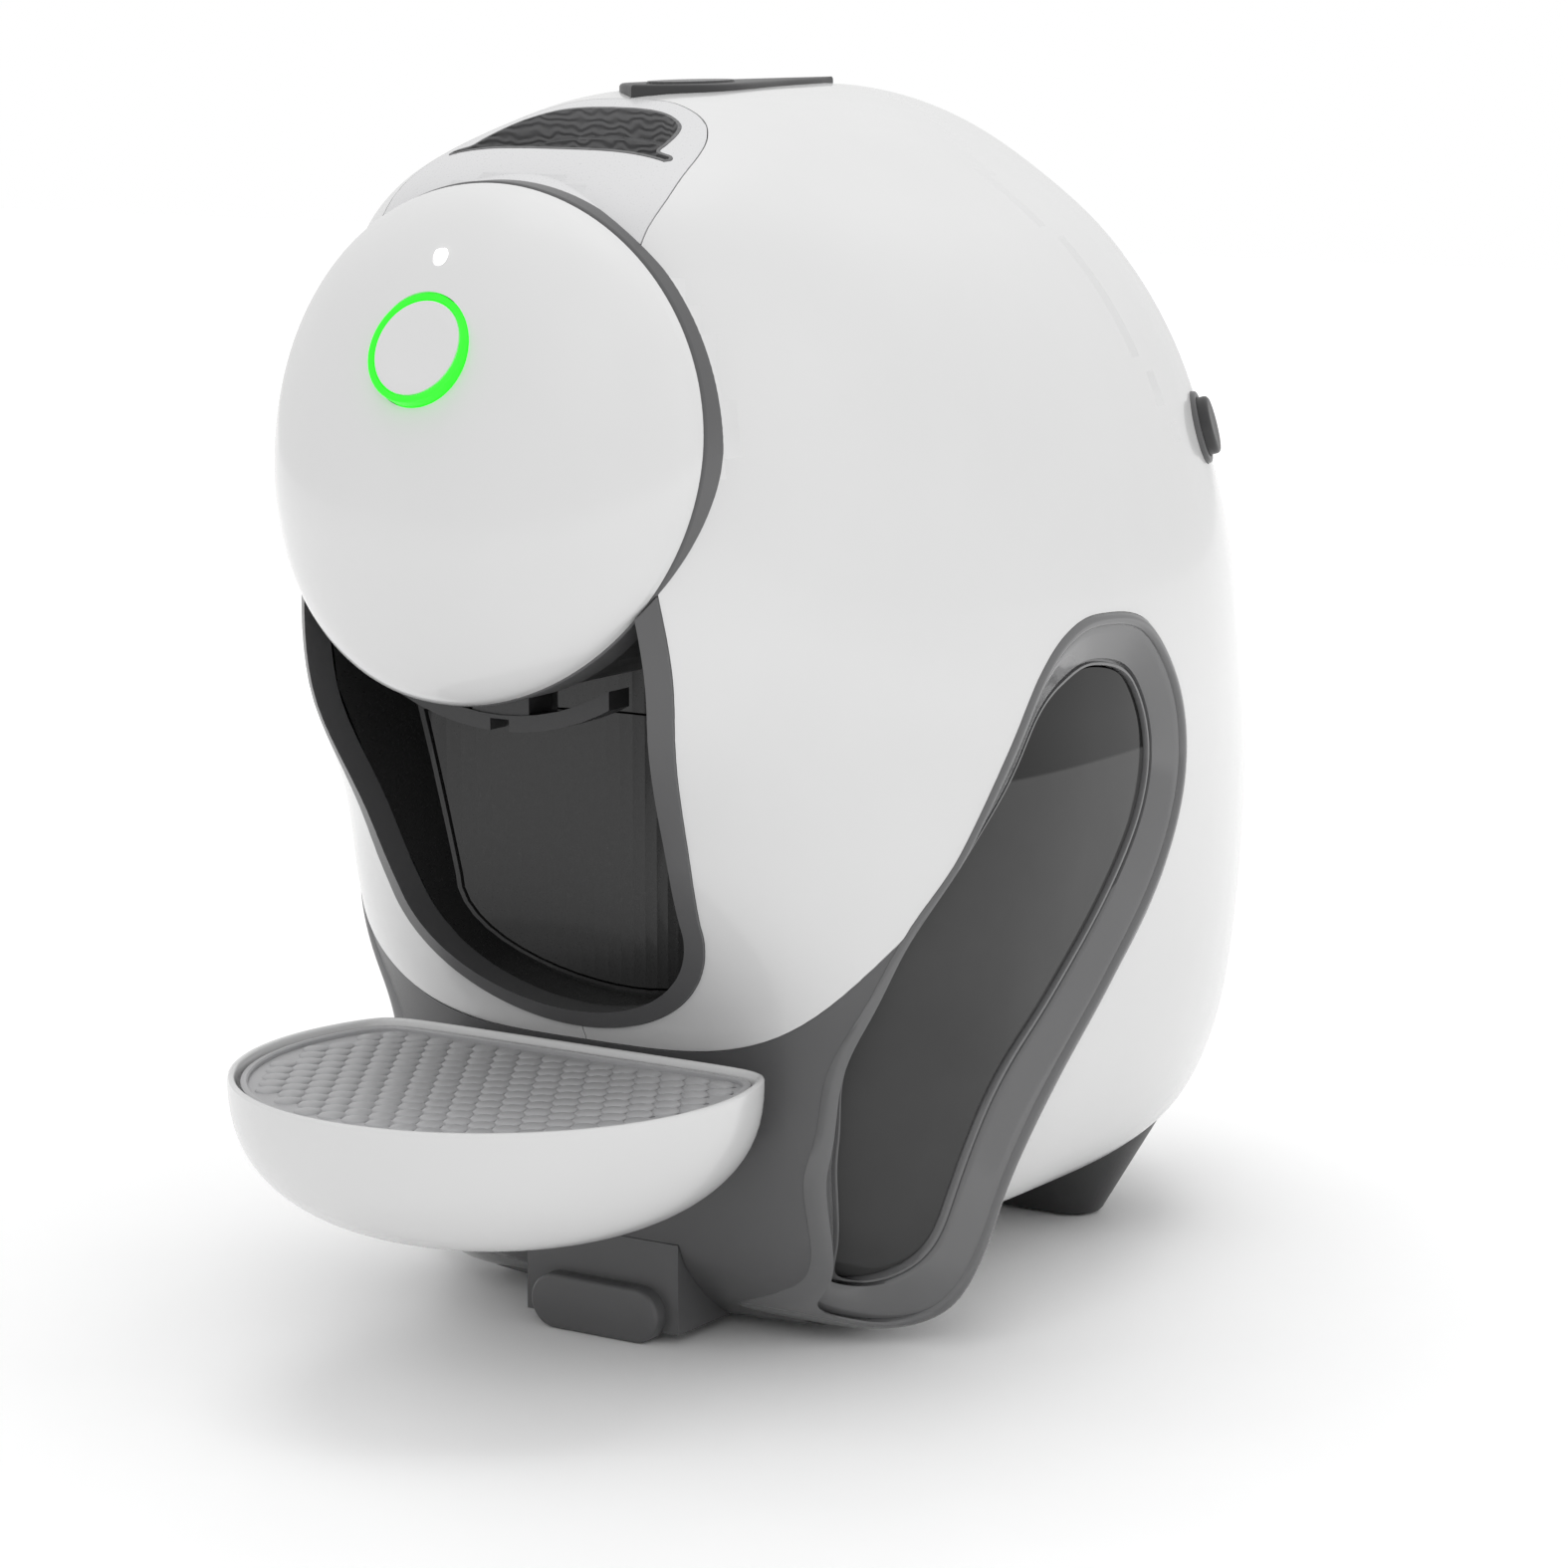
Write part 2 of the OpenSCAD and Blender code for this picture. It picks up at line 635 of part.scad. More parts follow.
module brew_chamber() {
    color("dimgray") difference() {
        block(-chassis_x, chassis_x, -110, -93, 210, 286);
        translate([0, 0, pod_z]) rod_y(24, -98, -90);
        for (x = [-guide_x, guide_x]) translate([x, 0, pod_z]) rod_y(3, -103, -90);
        translate([0, -100, 205]) cylinder(r = 2.2, h = 30, $fn = 48);
    }
}
module needle_plate() {
    color("silver") translate([0, 0, pod_z]) {
        rod_y(29, -93, -91.6);
        for (a = [0 : 72 : 288]) rotate([0, a, 0]) translate([0, -91.6, 18])
            rotate([-90, 0, 0]) cylinder(r1 = 1.4, r2 = 0.3, h = 3.4, $fn = 24);
    }
}
module clamp_guides() {
    color("silver") for (x = [-guide_x, guide_x]) translate([x, 0, pod_z]) rod_y(3, -103, -31);
}
rack_z = 240 + pinion_r;
tooth = 2 * PI * pinion_r / 12;
module clamp_jaw() {
    color("gray") difference() {
        union() {
            block(-30, 30, -64, -46, 228, 288);
            for (side = [-1, 1]) scale([side, 1, 1]) block(30, 46.5, -60, -48, 250, 266);
            block(-3.5, 3.5, -46, 0, rack_z + 1.1, 252);
            for (k = [-7 : 6]) translate([0, -22 + (k + 0.5) * tooth, 0])
                side_prism([[-1.1, rack_z + 1.2], [-0.35, rack_z - 0.75], [0.35, rack_z - 0.75],
                    [1.1, rack_z + 1.2]], -3.5, 3.5);
        }
        translate([0, 0, pod_z]) rod_y(27, -70, -60);
        for (x = [-guide_x, guide_x]) translate([x, 0, pod_z]) rod_y(3.3, -70, -40);
    }
}
// One tooth as [y, z], pointing up from the middle of the gear.
tooth_line = [[0.95, pinion_r - 1.1], [0.3, pinion_r + 0.75], [-0.3, pinion_r + 0.75],
    [-0.95, pinion_r - 1.1]];
function turned(p, a) = [p.x * cos(a) - p.y * sin(a), p.x * sin(a) + p.y * cos(a)];
module drive_pinion() {
    color("ivory") translate([0, -22, 240]) difference() {
        side_prism([for (k = [0 : 11]) for (p = tooth_line) turned(p, 30 * k)], -3, 3);
        rod_x(1.6, -5, 5);
    }
}
module clamp_motor() {
    color("gray") translate([0, -22, 240]) {
        rod_x(13, 8, chassis_x);
        rod_x(4, 6, 8);
        rod_x(1.3, -6, 6);
    }
}
pump_at = [-18, 0, 60];
module pump() {
    color("silver") translate(pump_at) {
        rod_y(17, 25, 91);
        rod_y(8, 20, 25);
        rod_y(8, 91, 96);
    }
}
module pump_mounts() {
    color("black") for (y = [30, 80]) difference() {
        block(-41, 5, y, y + 6, 30, 81);
        translate(pump_at) rod_y(17, y - 1, y + 7);
    }
}
module heater() {
    color("silver") translate([0, 55, 193]) {
        cylinder(r = 22, h = 58, $fn = 64);
        translate([0, 0, 58]) cylinder(r = 14, h = 4, $fn = 64);
    }
}
module relief_valve() {
    color("peru") translate([-6, 55, 255]) cylinder(r = 5, h = 14, $fn = 48);
}
module flow_meter() {
    color("black") translate([28, 10, 30]) {
        cylinder(r = 10, h = 18, $fn = 48);
        translate([0, 0, 18]) cylinder(r = 4, h = 3, $fn = 48);
    }
}
// Round hose through the given points.
module hose(points) {
    for (i = [0 : len(points) - 2]) {
        v = points[i + 1] - points[i];
        translate(points[i]) rotate([0, acos(v.z / norm(v)), atan2(v.y, v.x)])
            cylinder(r = 2.6, h = norm(v), $fn = 10);
        if (i > 0) translate(points[i]) sphere(r = 2.6, $fn = 10);
    }
}
module water_hoses() {
    color("white") one_mesh() {
        hose([[39.9, -48.5, 41], [28, -48.5, 41], [28, -0.1, 41]]);
        hose([[28, 10, 51.1], [28, 10, 60], [-18, 10, 60], [-18, 19.9, 60]]);
        hose([[-18, 96.1, 60], [-18, 106, 60], [-18, 106, 225], [0, 106, 225], [0, 77.1, 225]]);
        hose([[7, 55, 255.1], [7, 55, 297], [43, 55, 297], [43, -100, 297], [43, -100, 286.1]]);
    }
}

// ---- electrics ------------------------------------------------------------------------------------
module control_board() {
    color("green") {
        block(-72, -70.4, -25, 30, 105, 175);
        block(-75, -72, -15, 0, 120, 140);
        block(-77, -72, 8, 22, 150, 166);
    }
}
module power_board() {
    color("green") {
        block(-20, 40, 120, 121.6, 45, 120);
        block(-12, 8, 121.6, 136, 60, 84);
        translate([26, 0, 100]) rod_y(7, 121.6, 140);
    }
}
module mains_inlet() {
    color("black") one_mesh() difference() {
        intersection() {
            block(19, 51, 152, 200, 33, 57);
            form(body_lines, 0.5);
        }
        block(23, 47, 164, 200, 37, 53);
    }
}
// Small switches behind the three buttons.
module button_switches() {
    color("black") {
        at_brew_button() block(-4, 4, -4, 4, -16, -10.5);
        block(-4, 4, -34, -26, 318, 325);
        at_power_button() block(-5, 5, -5, 5, -17, -8.5);
    }
}
module case_screws() {
    color("silver") {
        for (x = [-40, 40]) translate([x, -34, 0]) {
            translate([0, 0, 6.4]) cylinder(r = 3.5, h = 1.6, $fn = 32);
            translate([0, 0, 8]) cylinder(r = 1.9, h = 14, $fn = 32);
        }
        for (x = [-10, 10]) translate([x, -46.5, 0]) {
            translate([0, 0, 1.6]) cylinder(r = 2.8, h = 1.4, $fn = 32);
            translate([0, 0, 3]) cylinder(r = 1.6, h = 9, $fn = 32);
        }
    }
}

side_shell_right();
side_shell_left();
top_panel();
slot_liner();
face_ring();
front_cover();
brew_button();
light_ring();
status_light();
bay_trim();
bay_liner();
outlet_housing();
coffee_outlet();
base_housing();
base_plate();
front_foot();
rear_foot();
foot_pads();
tank_bezel();
cover_bezel();
side_cover();
water_tank();
tank_lid();
tank_valve();
tank_dock();
dock_seal();
top_pad();
top_button();
power_button();
power_collar();
drip_tray();
drip_grid();
tray_bracket();
pod_bin();
pod_chute();
chassis();
brew_chamber();
needle_plate();
clamp_jaw();
clamp_guides();
clamp_motor();
drive_pinion();
pump();
pump_mounts();
heater();
flow_meter();
relief_valve();
water_hoses();
control_board();
power_board();
mains_inlet();
button_switches();
case_screws();
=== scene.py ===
"""Looks for the pod coffee machine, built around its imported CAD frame.

Lengths in this script are millimetres until mesh() turns them into metres.
Front is -Y, the water tank is on the +X side, and the feet stand on z = 0.
"""

import math

import bmesh
import bpy
import numpy as np
from mathutils import Matrix, Vector


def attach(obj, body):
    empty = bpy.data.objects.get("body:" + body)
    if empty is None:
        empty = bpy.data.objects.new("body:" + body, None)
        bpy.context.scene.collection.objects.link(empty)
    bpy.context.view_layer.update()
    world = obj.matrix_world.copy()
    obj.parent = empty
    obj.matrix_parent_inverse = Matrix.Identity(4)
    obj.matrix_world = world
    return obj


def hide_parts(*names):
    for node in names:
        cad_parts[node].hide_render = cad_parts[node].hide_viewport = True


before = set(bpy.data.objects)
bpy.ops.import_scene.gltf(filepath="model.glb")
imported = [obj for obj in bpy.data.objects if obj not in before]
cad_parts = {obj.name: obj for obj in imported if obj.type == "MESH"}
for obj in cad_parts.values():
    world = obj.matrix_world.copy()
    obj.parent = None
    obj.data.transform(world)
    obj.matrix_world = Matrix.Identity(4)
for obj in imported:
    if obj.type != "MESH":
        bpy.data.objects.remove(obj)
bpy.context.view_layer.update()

MM = 0.001

# ---------------------------------------------------------------- driving dimensions
# body shells: half width, wall, roundness of the plan curves, and the widest height
BODY_HALF = 106
WALL = 2.6
FRONT_N = 3.5
REAR_N = 2.3
MID_Z = 170

# round face, its buttons and lights
FACE_R = 66
FACE_Z = 247
COVER_R = 65.5
DOME_H = 28.5
RING_DEPTH = 8
SNOUT = (FACE_R, -113.5, 69.6, -88)  # radius and y of the cone's front, then of its back
BUTTON_AT = Vector((0, -152, 273))
BUTTON_TILT = 64.5
BUTTON_R = 12.6
LIGHT_R = 14.6
STATUS_Z = 295
STATUS_R = 2.2
TOP_BUTTON_Y = -30
POWER_AT = (83, 106, 236)
POWER_TURN = 23
POWER_TILT = 75
POWER_R = 8.4
COLLAR_R = 10.5

# cup bay
BAY_HALF = 58.5
BAY_LOW_Z = 123
BAY_BOTTOM_Z = 87
TRIM_W = 4.8

# drip tray: middle, radius, rim height, depth, and reach of its flat rear side
TRAY_Y = -121
TRAY_R = 70.5
TRAY_Z = 83
TRAY_H = 43
TRAY_BACK = 35

# pod slot, base, openings in it, and feet
SLOT_Y = -92.6
SLOT_HALF = 29.4
BASE_BACK_Y = -21
INLET_HOLE = (18.7, 51.3, 150, 200, 32.7, 57.3)
RAIL_X = 30
RAIL_Z = 58
CASE_SCREW_X = 40
CASE_SCREW_Y = -34
FRONT_FOOT_HALF = 13.2
FRONT_FOOT_R = 7.7
REAR_FOOT_X = 44
REAR_FOOT_Y = 106

# tank and side cover: depth below the skin, valve place, and water level
TANK_DEPTH = 6.5
SIDE_COVER_DEPTH = 5
VALVE_Y = -48.5
VALVE_Z = 41
WATER_Z = 153.5

# [height, front y, y of the widest line, rear y, half width, roundness in front]
BODY = [
    [14, -10, 75, 110, 6, FRONT_N],
    [18, -45, 64, 152, 46, FRONT_N],
    [30, -62, 40, 172, 78, FRONT_N],
    [54, -72, 28, 183, BODY_HALF - 11, FRONT_N],
    [90, -85, 22, 188, BODY_HALF - 3, 3.2],
    [140, -122, 18, 191, BODY_HALF, 2.2],
    [180, -150, 16, 186, BODY_HALF - 1, 2.05],
    [220, -155, 12, 174, BODY_HALF - 5, 2.05],
    [260, -154, 6, 154, BODY_HALF - 13, 2.1],
    [290, -130, -2, 130, BODY_HALF - 27, 2.6],
    [312, -109, -8, 103, BODY_HALF - 48, FRONT_N],
    [326, -76, -10, 74, 40, FRONT_N],
    [333, -52, -8, 44, 20, FRONT_N],
    [334, -10, -5, 5, 3, FRONT_N],
]
LOW = [
    [4, -52, 20, 150, 88, FRONT_N],
    [14, -65, 21, 162, 94, FRONT_N],
    [28, -75, 22, 172, 97, FRONT_N],
    [56, -79, 24, 182, BODY_HALF - 6, FRONT_N],
]
BASE = LOW + BODY[4:8]
SIDE = LOW + BODY[4:]

# Outlines as [y, z] on the flank, and half outlines as [x, y] in plan.
BEZEL_LINE = [
    [12, 195], [38, 190], [57, 169], [60, 144], [47, 118], [22, 93], [-3.5, 69.5],
    [-21.5, 46.5], [-31, 23], [-37, 6], [-49, 4.5], [-64, 15], [-71.5, 46], [-71.5, 70],
    [-70.5, 94.5], [-64, 118], [-48, 138], [-32, 163], [-19, 181.5], [-5, 192],
]
WINDOW_LINE = [
    [16, 180], [36, 174], [46, 156], [42, 137], [24, 115], [-2, 92], [-23, 73],
    [-34, 50], [-40, 29], [-49, 19], [-58, 26], [-62, 46], [-63.5, 68.5], [-62.5, 89.5],
    [-56.5, 114], [-39.5, 135.5], [-24, 153], [-12, 169.5], [0.5, 177],
]
PANEL_LINE = [
    [42, -112], [42.5, -104], [41.5, -96], [39, -84], [35, -74], [28, -65.5],
    [17, -60.5], [8, -59], [0, -58.6],
]
SLOT_LINE = [
    [34, -92.5], [35.2, -90.8], [34, -88.9], [30, -88.4], [SLOT_HALF, -84], [28, -77],
    [25, -71.5], [18, -67.6], [9, -66.2], [0, -65.8],
]
PAD_LINE = [
    [0, -58], [9, -50], [14, -42], [15, -30], [13, -16], [9, 2], [4.5, 24], [0, 41],
]


# ---------------------------------------------------------------- curves and forms
def spline(points, steps):
    """Catmull-Rom curve through the points."""
    p = np.array(points, float)
    p = np.vstack([2 * p[0] - p[1], p, 2 * p[-1] - p[-2]])
    out = []
    for i in range(1, len(p) - 2):
        a, b, c, d = p[i - 1 : i + 3]
        for f in np.arange(steps) / steps:
            bend = 2 * a - 5 * b + 4 * c - d + f * (3 * (b - c) + d - a)
            out.append(b + 0.5 * f * (c - a + f * bend))
    out.append(p[-2])
    return np.array(out)


def loop(points, steps):
    """Closed Catmull-Rom curve through the points."""
    p = np.array(points, float)
    n = len(p)
    out = []
    for i in range(n):
        a, b, c, d = (p[(i + k) % n] for k in (-1, 0, 1, 2))
        for f in np.arange(steps) / steps:
            bend = 2 * a - 5 * b + 4 * c - d + f * (3 * (b - c) + d - a)
            out.append(b + 0.5 * f * (c - a + f * bend))
    return np.array(out)


def both_sides(half):
    """A half outline in x, closed by its mirror image."""
    half = [list(p) for p in half]
    tail = [[-x, y] for x, y in half[::-1] if abs(x) > 1e-6]
    return half + tail


def shrink(line, g):
    """A closed outline moved towards its inside by g."""
    p = np.array(line, float)
    t = np.roll(p, -1, 0) - np.roll(p, 1, 0)
    t /= np.linalg.norm(t, axis=1)[:, None]
    turn = np.sign(np.sum(np.roll(p[:, 0], -1) * p[:, 1] - p[:, 0] * np.roll(p[:, 1], -1)))
    return p + turn * g * np.c_[t[:, 1], -t[:, 0]]


def rows(lines, g=0, steps=8):
    """The form's lines moved inward by g, with spline rows between them."""
    s = np.array(lines, float)
    s[:, 0] = MID_Z + (s[:, 0] - MID_Z) * (1 - g / MID_Z)
    s[:, 1] += g
    s[:, 3] -= g
    s[:, 4] = np.maximum(s[:, 4] - g, 1)
    return spline(s, steps)


def section(r, a):
    """Points round one row of a form at the angles a."""
    n = np.where(np.sin(a) < 0, r[5], REAR_N)
    c, s = np.abs(np.cos(a)), np.abs(np.sin(a))
    k = (c**n + s**n) ** (-1 / n)
    depth = np.where(np.sin(a) < 0, r[2] - r[1], r[3] - r[2])
    return np.c_[r[4] * k * np.cos(a), r[2] + depth * k * np.sin(a), np.full_like(a, r[0])]


def side_x(lines, g, y, z):
    """The half width of a form at places (y, z) on its flank."""
    r = rows(lines, g, 24)
    front, mid, rear, half, n = (np.interp(z, r[:, 0], r[:, k]) for k in range(1, 6))
    n = np.where(y < mid, n, REAR_N)
    reach = np.where(y < mid, mid - front, rear - mid)
    t = np.clip(np.abs(y - mid) / reach, 0, 0.9995)
    return half * (1 - t**n) ** (1 / n)


def form_surface(lines, g=0):
    """Distance from, and outward normal of, a form's surface at any points."""
    r = rows(lines, g, 24)

    def level(p):
        x, y, z = p.T
        front, mid, rear, half, n = (np.interp(z, r[:, 0], r[:, k]) for k in range(1, 6))
        n = np.where(y < mid, n, REAR_N)
        reach = np.where(y < mid, mid - front, rear - mid)
        return (np.abs(x / half) ** n + np.abs((y - mid) / reach) ** n) ** (1 / n)

    def measure(p):
        step = 0.4
        grad = np.zeros_like(p)
        for k in range(3):
            d = np.zeros(3)
            d[k] = step
            grad[:, k] = (level(p + d) - level(p - d)) / (2 * step)
        size = np.maximum(np.linalg.norm(grad, axis=1), 1e-9)
        return (level(p) - 1) / size, grad / size[:, None]

    return measure


def face_y(x, v):
    """The face ring's front plane at x and height v above the face centre."""
    return -129 + np.where(v < 0, 0.16, 0.136) * v + 0.0017 * x * x


def ring_back(x, v):
    """The face ring's back, where it sits on the shells."""
    return np.maximum(face_y(x, v) + RING_DEPTH, np.where(v < 0, -123, -200))


def dome_y(x, v, r, h):
    """Surface of a dome of radius r and height h on the face plane."""
    return face_y(x, v) - h * np.sqrt(np.maximum(0, 1 - (x * x + v * v) / (r * r)))


def dome_surface(r=COVER_R, h=DOME_H):
    """Distance from, and outward normal of, the front cover at any points."""
    def measure(p):
        x, y, v = p[:, 0], p[:, 1], p[:, 2] - FACE_Z
        step = 0.3
        gx = (dome_y(x + step, v, r, h) - dome_y(x - step, v, r, h)) / (2 * step)
        gv = (dome_y(x, v + step, r, h) - dome_y(x, v - step, r, h)) / (2 * step)
        n = np.c_[gx, -np.ones_like(gx), gv]
        size = np.linalg.norm(n, axis=1)
        return (dome_y(x, v, r, h) - y) / size, n / size[:, None]

    return measure


def cone_surface(r0, y0, r1, y1):
    """Cone about the face's own axis, of radius r0 at y0 and r1 at y1."""
    slope = (r1 - r0) / (y1 - y0)

    def measure(p):
        v = p[:, 2] - FACE_Z
        r = np.hypot(p[:, 0], v)
        away = r - (r0 + slope * (p[:, 1] - y0))
        n = np.c_[p[:, 0] / r, np.full_like(r, -slope), v / r]
        return away, n / np.linalg.norm(n, axis=1)[:, None]

    return measure


# ---------------------------------------------------------------- mesh helpers
def mesh(name, verts, faces, smooth=True):
    """A new object from points in millimetres."""
    data = bpy.data.meshes.new(name)
    data.from_pydata((np.array(verts, float) * MM).tolist(), [], [list(f) for f in faces])
    data.update()
    obj = bpy.data.objects.new(name, data)
    bpy.context.scene.collection.objects.link(obj)
    if smooth:
        data.shade_smooth()
    return obj


def strip(rings, closed=True, caps=False):
    """Faces between rings of equal length, laid one after the other."""
    n, m = len(rings[0]), len(rings)
    faces = []
    for k in range(m - 1):
        for j in range(n if closed else n - 1):
            a, b = k * n + j, k * n + (j + 1) % n
            faces.append((a, b, b + n, a + n))
    if caps:
        faces.append(tuple(range(n))[::-1])
        faces.append(tuple((m - 1) * n + j for j in range(n)))
    return np.vstack(rings), faces


def form(name, lines, g=0, steps=8, around=160):
    a = np.linspace(0, 2 * np.pi, around, endpoint=False)
    verts, faces = strip([section(r, a) for r in rows(lines, g, steps)], caps=True)
    return mesh(name, verts, faces)


def prism(name, line, low, high, axis):
    """A closed outline extruded along x, y or z. It is given as [y, z], [x, z] or [x, y]."""
    line = np.array(line, float)
    area = np.sum(line[:, 0] * np.roll(line[:, 1], -1) - np.roll(line[:, 0], -1) * line[:, 1])
    if (area < 0) != (axis == 1):
        line = line[::-1]
    rings = [np.insert(line, axis, at, axis=1) for at in (low, high)]
    return mesh(name, *strip(rings, caps=True), smooth=False)


def block(x0, x1, y0, y1, z0, z1):
    return prism("block", [[x0, y0], [x1, y0], [x1, y1], [x0, y1]], z0, z1, 2)


def circle(r, n=96, x=0, y=0):
    a = np.linspace(0, 2 * np.pi, n, endpoint=False)
    return np.c_[x + r * np.cos(a), y + r * np.sin(a)]


def placed(obj, matrix):
    """Moves an object's points by a matrix in millimetres."""
    scale = Matrix.Scale(MM, 4)
    obj.data.transform(scale @ matrix @ scale.inverted())
    return obj


def combine(obj, other, how):
    """Boolean of two objects, in place. The second one is used up."""
    step = obj.modifiers.new("step", "BOOLEAN")
    step.object = other
    step.operation = how
    step.solver = "MANIFOLD"
    depsgraph = bpy.context.evaluated_depsgraph_get()
    data = bpy.data.meshes.new_from_object(obj.evaluated_get(depsgraph))
    obj.modifiers.clear()
    obj.data = data
    bpy.data.objects.remove(other)
    return obj


def cut(obj, *others):
    for other in others:
        combine(obj, other, "DIFFERENCE")
    return obj


def keep(obj, *others):
    for other in others:
        combine(obj, other, "INTERSECT")
    return obj


def shade(obj, *surfaces, angle=35):
    """Smooth normals, taken from the exact surfaces wherever a face lies on one."""
    data = obj.data
    data.shade_smooth()
    data.set_sharp_from_angle(angle=math.radians(angle))
    count = len(data.loops)
    normals = np.zeros(count * 3)
    data.corner_normals.foreach_get("vector", normals)
    normals = normals.reshape(-1, 3)
    points = np.zeros(len(data.vertices) * 3)
    data.vertices.foreach_get("co", points)
    points = points.reshape(-1, 3) / MM
    corner = np.zeros(count, int)
    data.loops.foreach_get("vertex_index", corner)
    owner = np.repeat(np.arange(len(data.polygons)), [p.loop_total for p in data.polygons])
    centre = np.array([p.center for p in data.polygons]) / MM
    flat = np.array([p.normal for p in data.polygons])
    for surface in surfaces:
        away, n = surface(centre)
        facing = np.sum(n * flat, axis=1)
        on = (np.abs(away) < 0.6) & (np.abs(facing) > 0.85)
        sign = np.sign(facing)[owner]
        _, exact = surface(points[corner])
        pick = on[owner]
        normals[pick] = exact[pick] * sign[pick, None]
    data.normals_split_custom_set(normals.tolist())
    return obj


def merge(obj, distance=0.001):
    """Joins points that lie in one place and turns all faces outward."""
    work = bmesh.new()
    work.from_mesh(obj.data)
    bmesh.ops.remove_doubles(work, verts=work.verts, dist=distance * MM)
    bmesh.ops.recalc_face_normals(work, faces=work.faces)
    work.to_mesh(obj.data)
    work.free()
    return obj


def lathe(name, profile, n=96, matrix=None):
    """Profile of (radius, height) turned about Z. The ends close on the axis."""
    a = np.linspace(0, 2 * np.pi, n, endpoint=False)
    rings = [np.c_[r * np.cos(a), r * np.sin(a), np.full(n, z)] for r, z in profile]
    obj = mesh(name, *strip(rings, caps=True))
    merge(obj)
    if matrix:
        placed(obj, matrix)
    return shade(obj, angle=40)


def rounded(r, z, soft, steps=5):
    """Profile points that round an outer edge of radius r at height z."""
    t = np.linspace(0, math.pi / 2, steps)
    return [(r - soft + soft * math.cos(u), z - soft + soft * math.sin(u)) for u in t]


# ---------------------------------------------------------------- materials
class Nodes:
    """Small helper that builds a node tree by name."""

    def __init__(self, name):
        self.material = bpy.data.materials.new(name)
        self.material.use_nodes = True
        self.tree = self.material.node_tree
        self.shader = self.tree.nodes["Principled BSDF"]

    def add(self, kind, **inputs):
        node = self.tree.nodes.new("ShaderNode" + kind)
        for key, value in inputs.items():
            key = key.replace("_", " ")
            if hasattr(value, "is_output"):
                self.tree.links.new(value, node.inputs[key])
            else:
                node.inputs[key].default_value = value
        return node

    def link(self, value, socket):
        self.tree.links.new(value, self.shader.inputs[socket])

    def set(self, **values):
        for key, value in values.items():
            self.shader.inputs[key.replace("_", " ")].default_value = value

    def place(self, scale=(1, 1, 1)):
        """Object coordinates in millimetres."""
        at = self.add("TexCoord").outputs["Object"]
        node = self.add("Mapping", Vector=at)
        node.inputs["Scale"].default_value = [s / MM for s in scale]
        return node.outputs["Vector"]

    def noise(self, at, scale, detail=3, rough=0.55):
        return self.add("TexNoise", Vector=at, Scale=scale, Detail=detail, Roughness=rough)

    def ramp(self, value, low, high):
        node = self.add("MapRange", Value=value)
        node.inputs["From Min"].default_value = 0.3
        node.inputs["From Max"].default_value = 0.7
        node.inputs["To Min"].default_value = low
        node.inputs["To Max"].default_value = high
        return node.outputs["Result"]

    def mix(self, factor, a, b):
        node = self.tree.nodes.new("ShaderNodeMix")
        node.data_type = "RGBA"
        for socket, value in ((0, factor), (6, a), (7, b)):
            if hasattr(value, "is_output"):
                self.tree.links.new(value, node.inputs[socket])
            else:
                node.inputs[socket].default_value = value
        return node.outputs[2]

    def bump(self, height, distance, strength=1.0):
        node = self.add("Bump", Height=height, Strength=strength)
        node.inputs["Distance"].default_value = distance * MM
        self.link(node.outputs["Normal"], "Normal")


def grey(v, tint=0.0):
    return (v, v, v * (1 + tint), 1)


def plastic(name, color, rough, grain=0.0, grain_size=0.6, coat=0.0, spread=0.04):
    """Moulded plastic: slight colour and gloss variation, and a fine moulded grain."""
    m = Nodes(name)
    at = m.place()
    cloud = m.noise(at, 0.02).outputs["Fac"]
    fine = m.noise(at, 1 / grain_size, 2).outputs["Fac"]
    low = tuple(c * (1 - spread) for c in color[:3]) + (1,)
    high = tuple(min(c * (1 + spread), 1) for c in color[:3]) + (1,)
    m.link(m.mix(m.ramp(cloud, 0, 1), low, high), "Base Color")
    m.link(m.ramp(fine, rough * 0.88, rough * 1.12), "Roughness")
    m.set(Coat_Weight=coat, Coat_Roughness=0.06)
    if grain:
        m.bump(fine, grain)
    return m.material


def light_material(name, color, strength):
    """Lit lens with slightly uneven brightness."""
    m = Nodes(name)
    cloud = m.noise(m.place(), 0.2).outputs["Fac"]
    dim = tuple(c * 0.82 for c in color[:3]) + (1,)
    tone = m.mix(m.ramp(cloud, 0, 1), dim, color)
    m.link(tone, "Base Color")
    m.link(tone, "Emission Color")
    m.set(Emission_Strength=strength, Roughness=0.3)
    return m.material


def metal(name, color, rough):
    """Brushed metal with fine streaks."""
    m = Nodes(name)
    streak = m.noise(m.place((0.06, 1.2, 1.2)), 1.5, 4).outputs["Fac"]
    low = tuple(c * 0.85 for c in color[:3]) + (1,)
    m.link(m.mix(m.ramp(streak, 0, 1), low, color), "Base Color")
    m.link(m.ramp(streak, rough * 0.7, rough * 1.3), "Roughness")
    m.set(Metallic=1.0)
    m.bump(streak, 0.03)
    return m.material


def board_material():
    """Green circuit board with a faint pattern of tracks."""
    m = Nodes("circuit_board")
    brick = m.add("TexBrick", Vector=m.place(), Scale=0.3)
    brick.inputs["Color1"].default_value = (0.01, 0.09, 0.03, 1)
    brick.inputs["Color2"].default_value = (0.015, 0.12, 0.04, 1)
    brick.inputs["Mortar"].default_value = (0.25, 0.2, 0.06, 1)
    brick.inputs["Mortar Size"].default_value = 0.03
    m.link(brick.outputs["Color"], "Base Color")
    m.link(m.ramp(brick.outputs["Fac"], 0.45, 0.3), "Roughness")
    return m.material


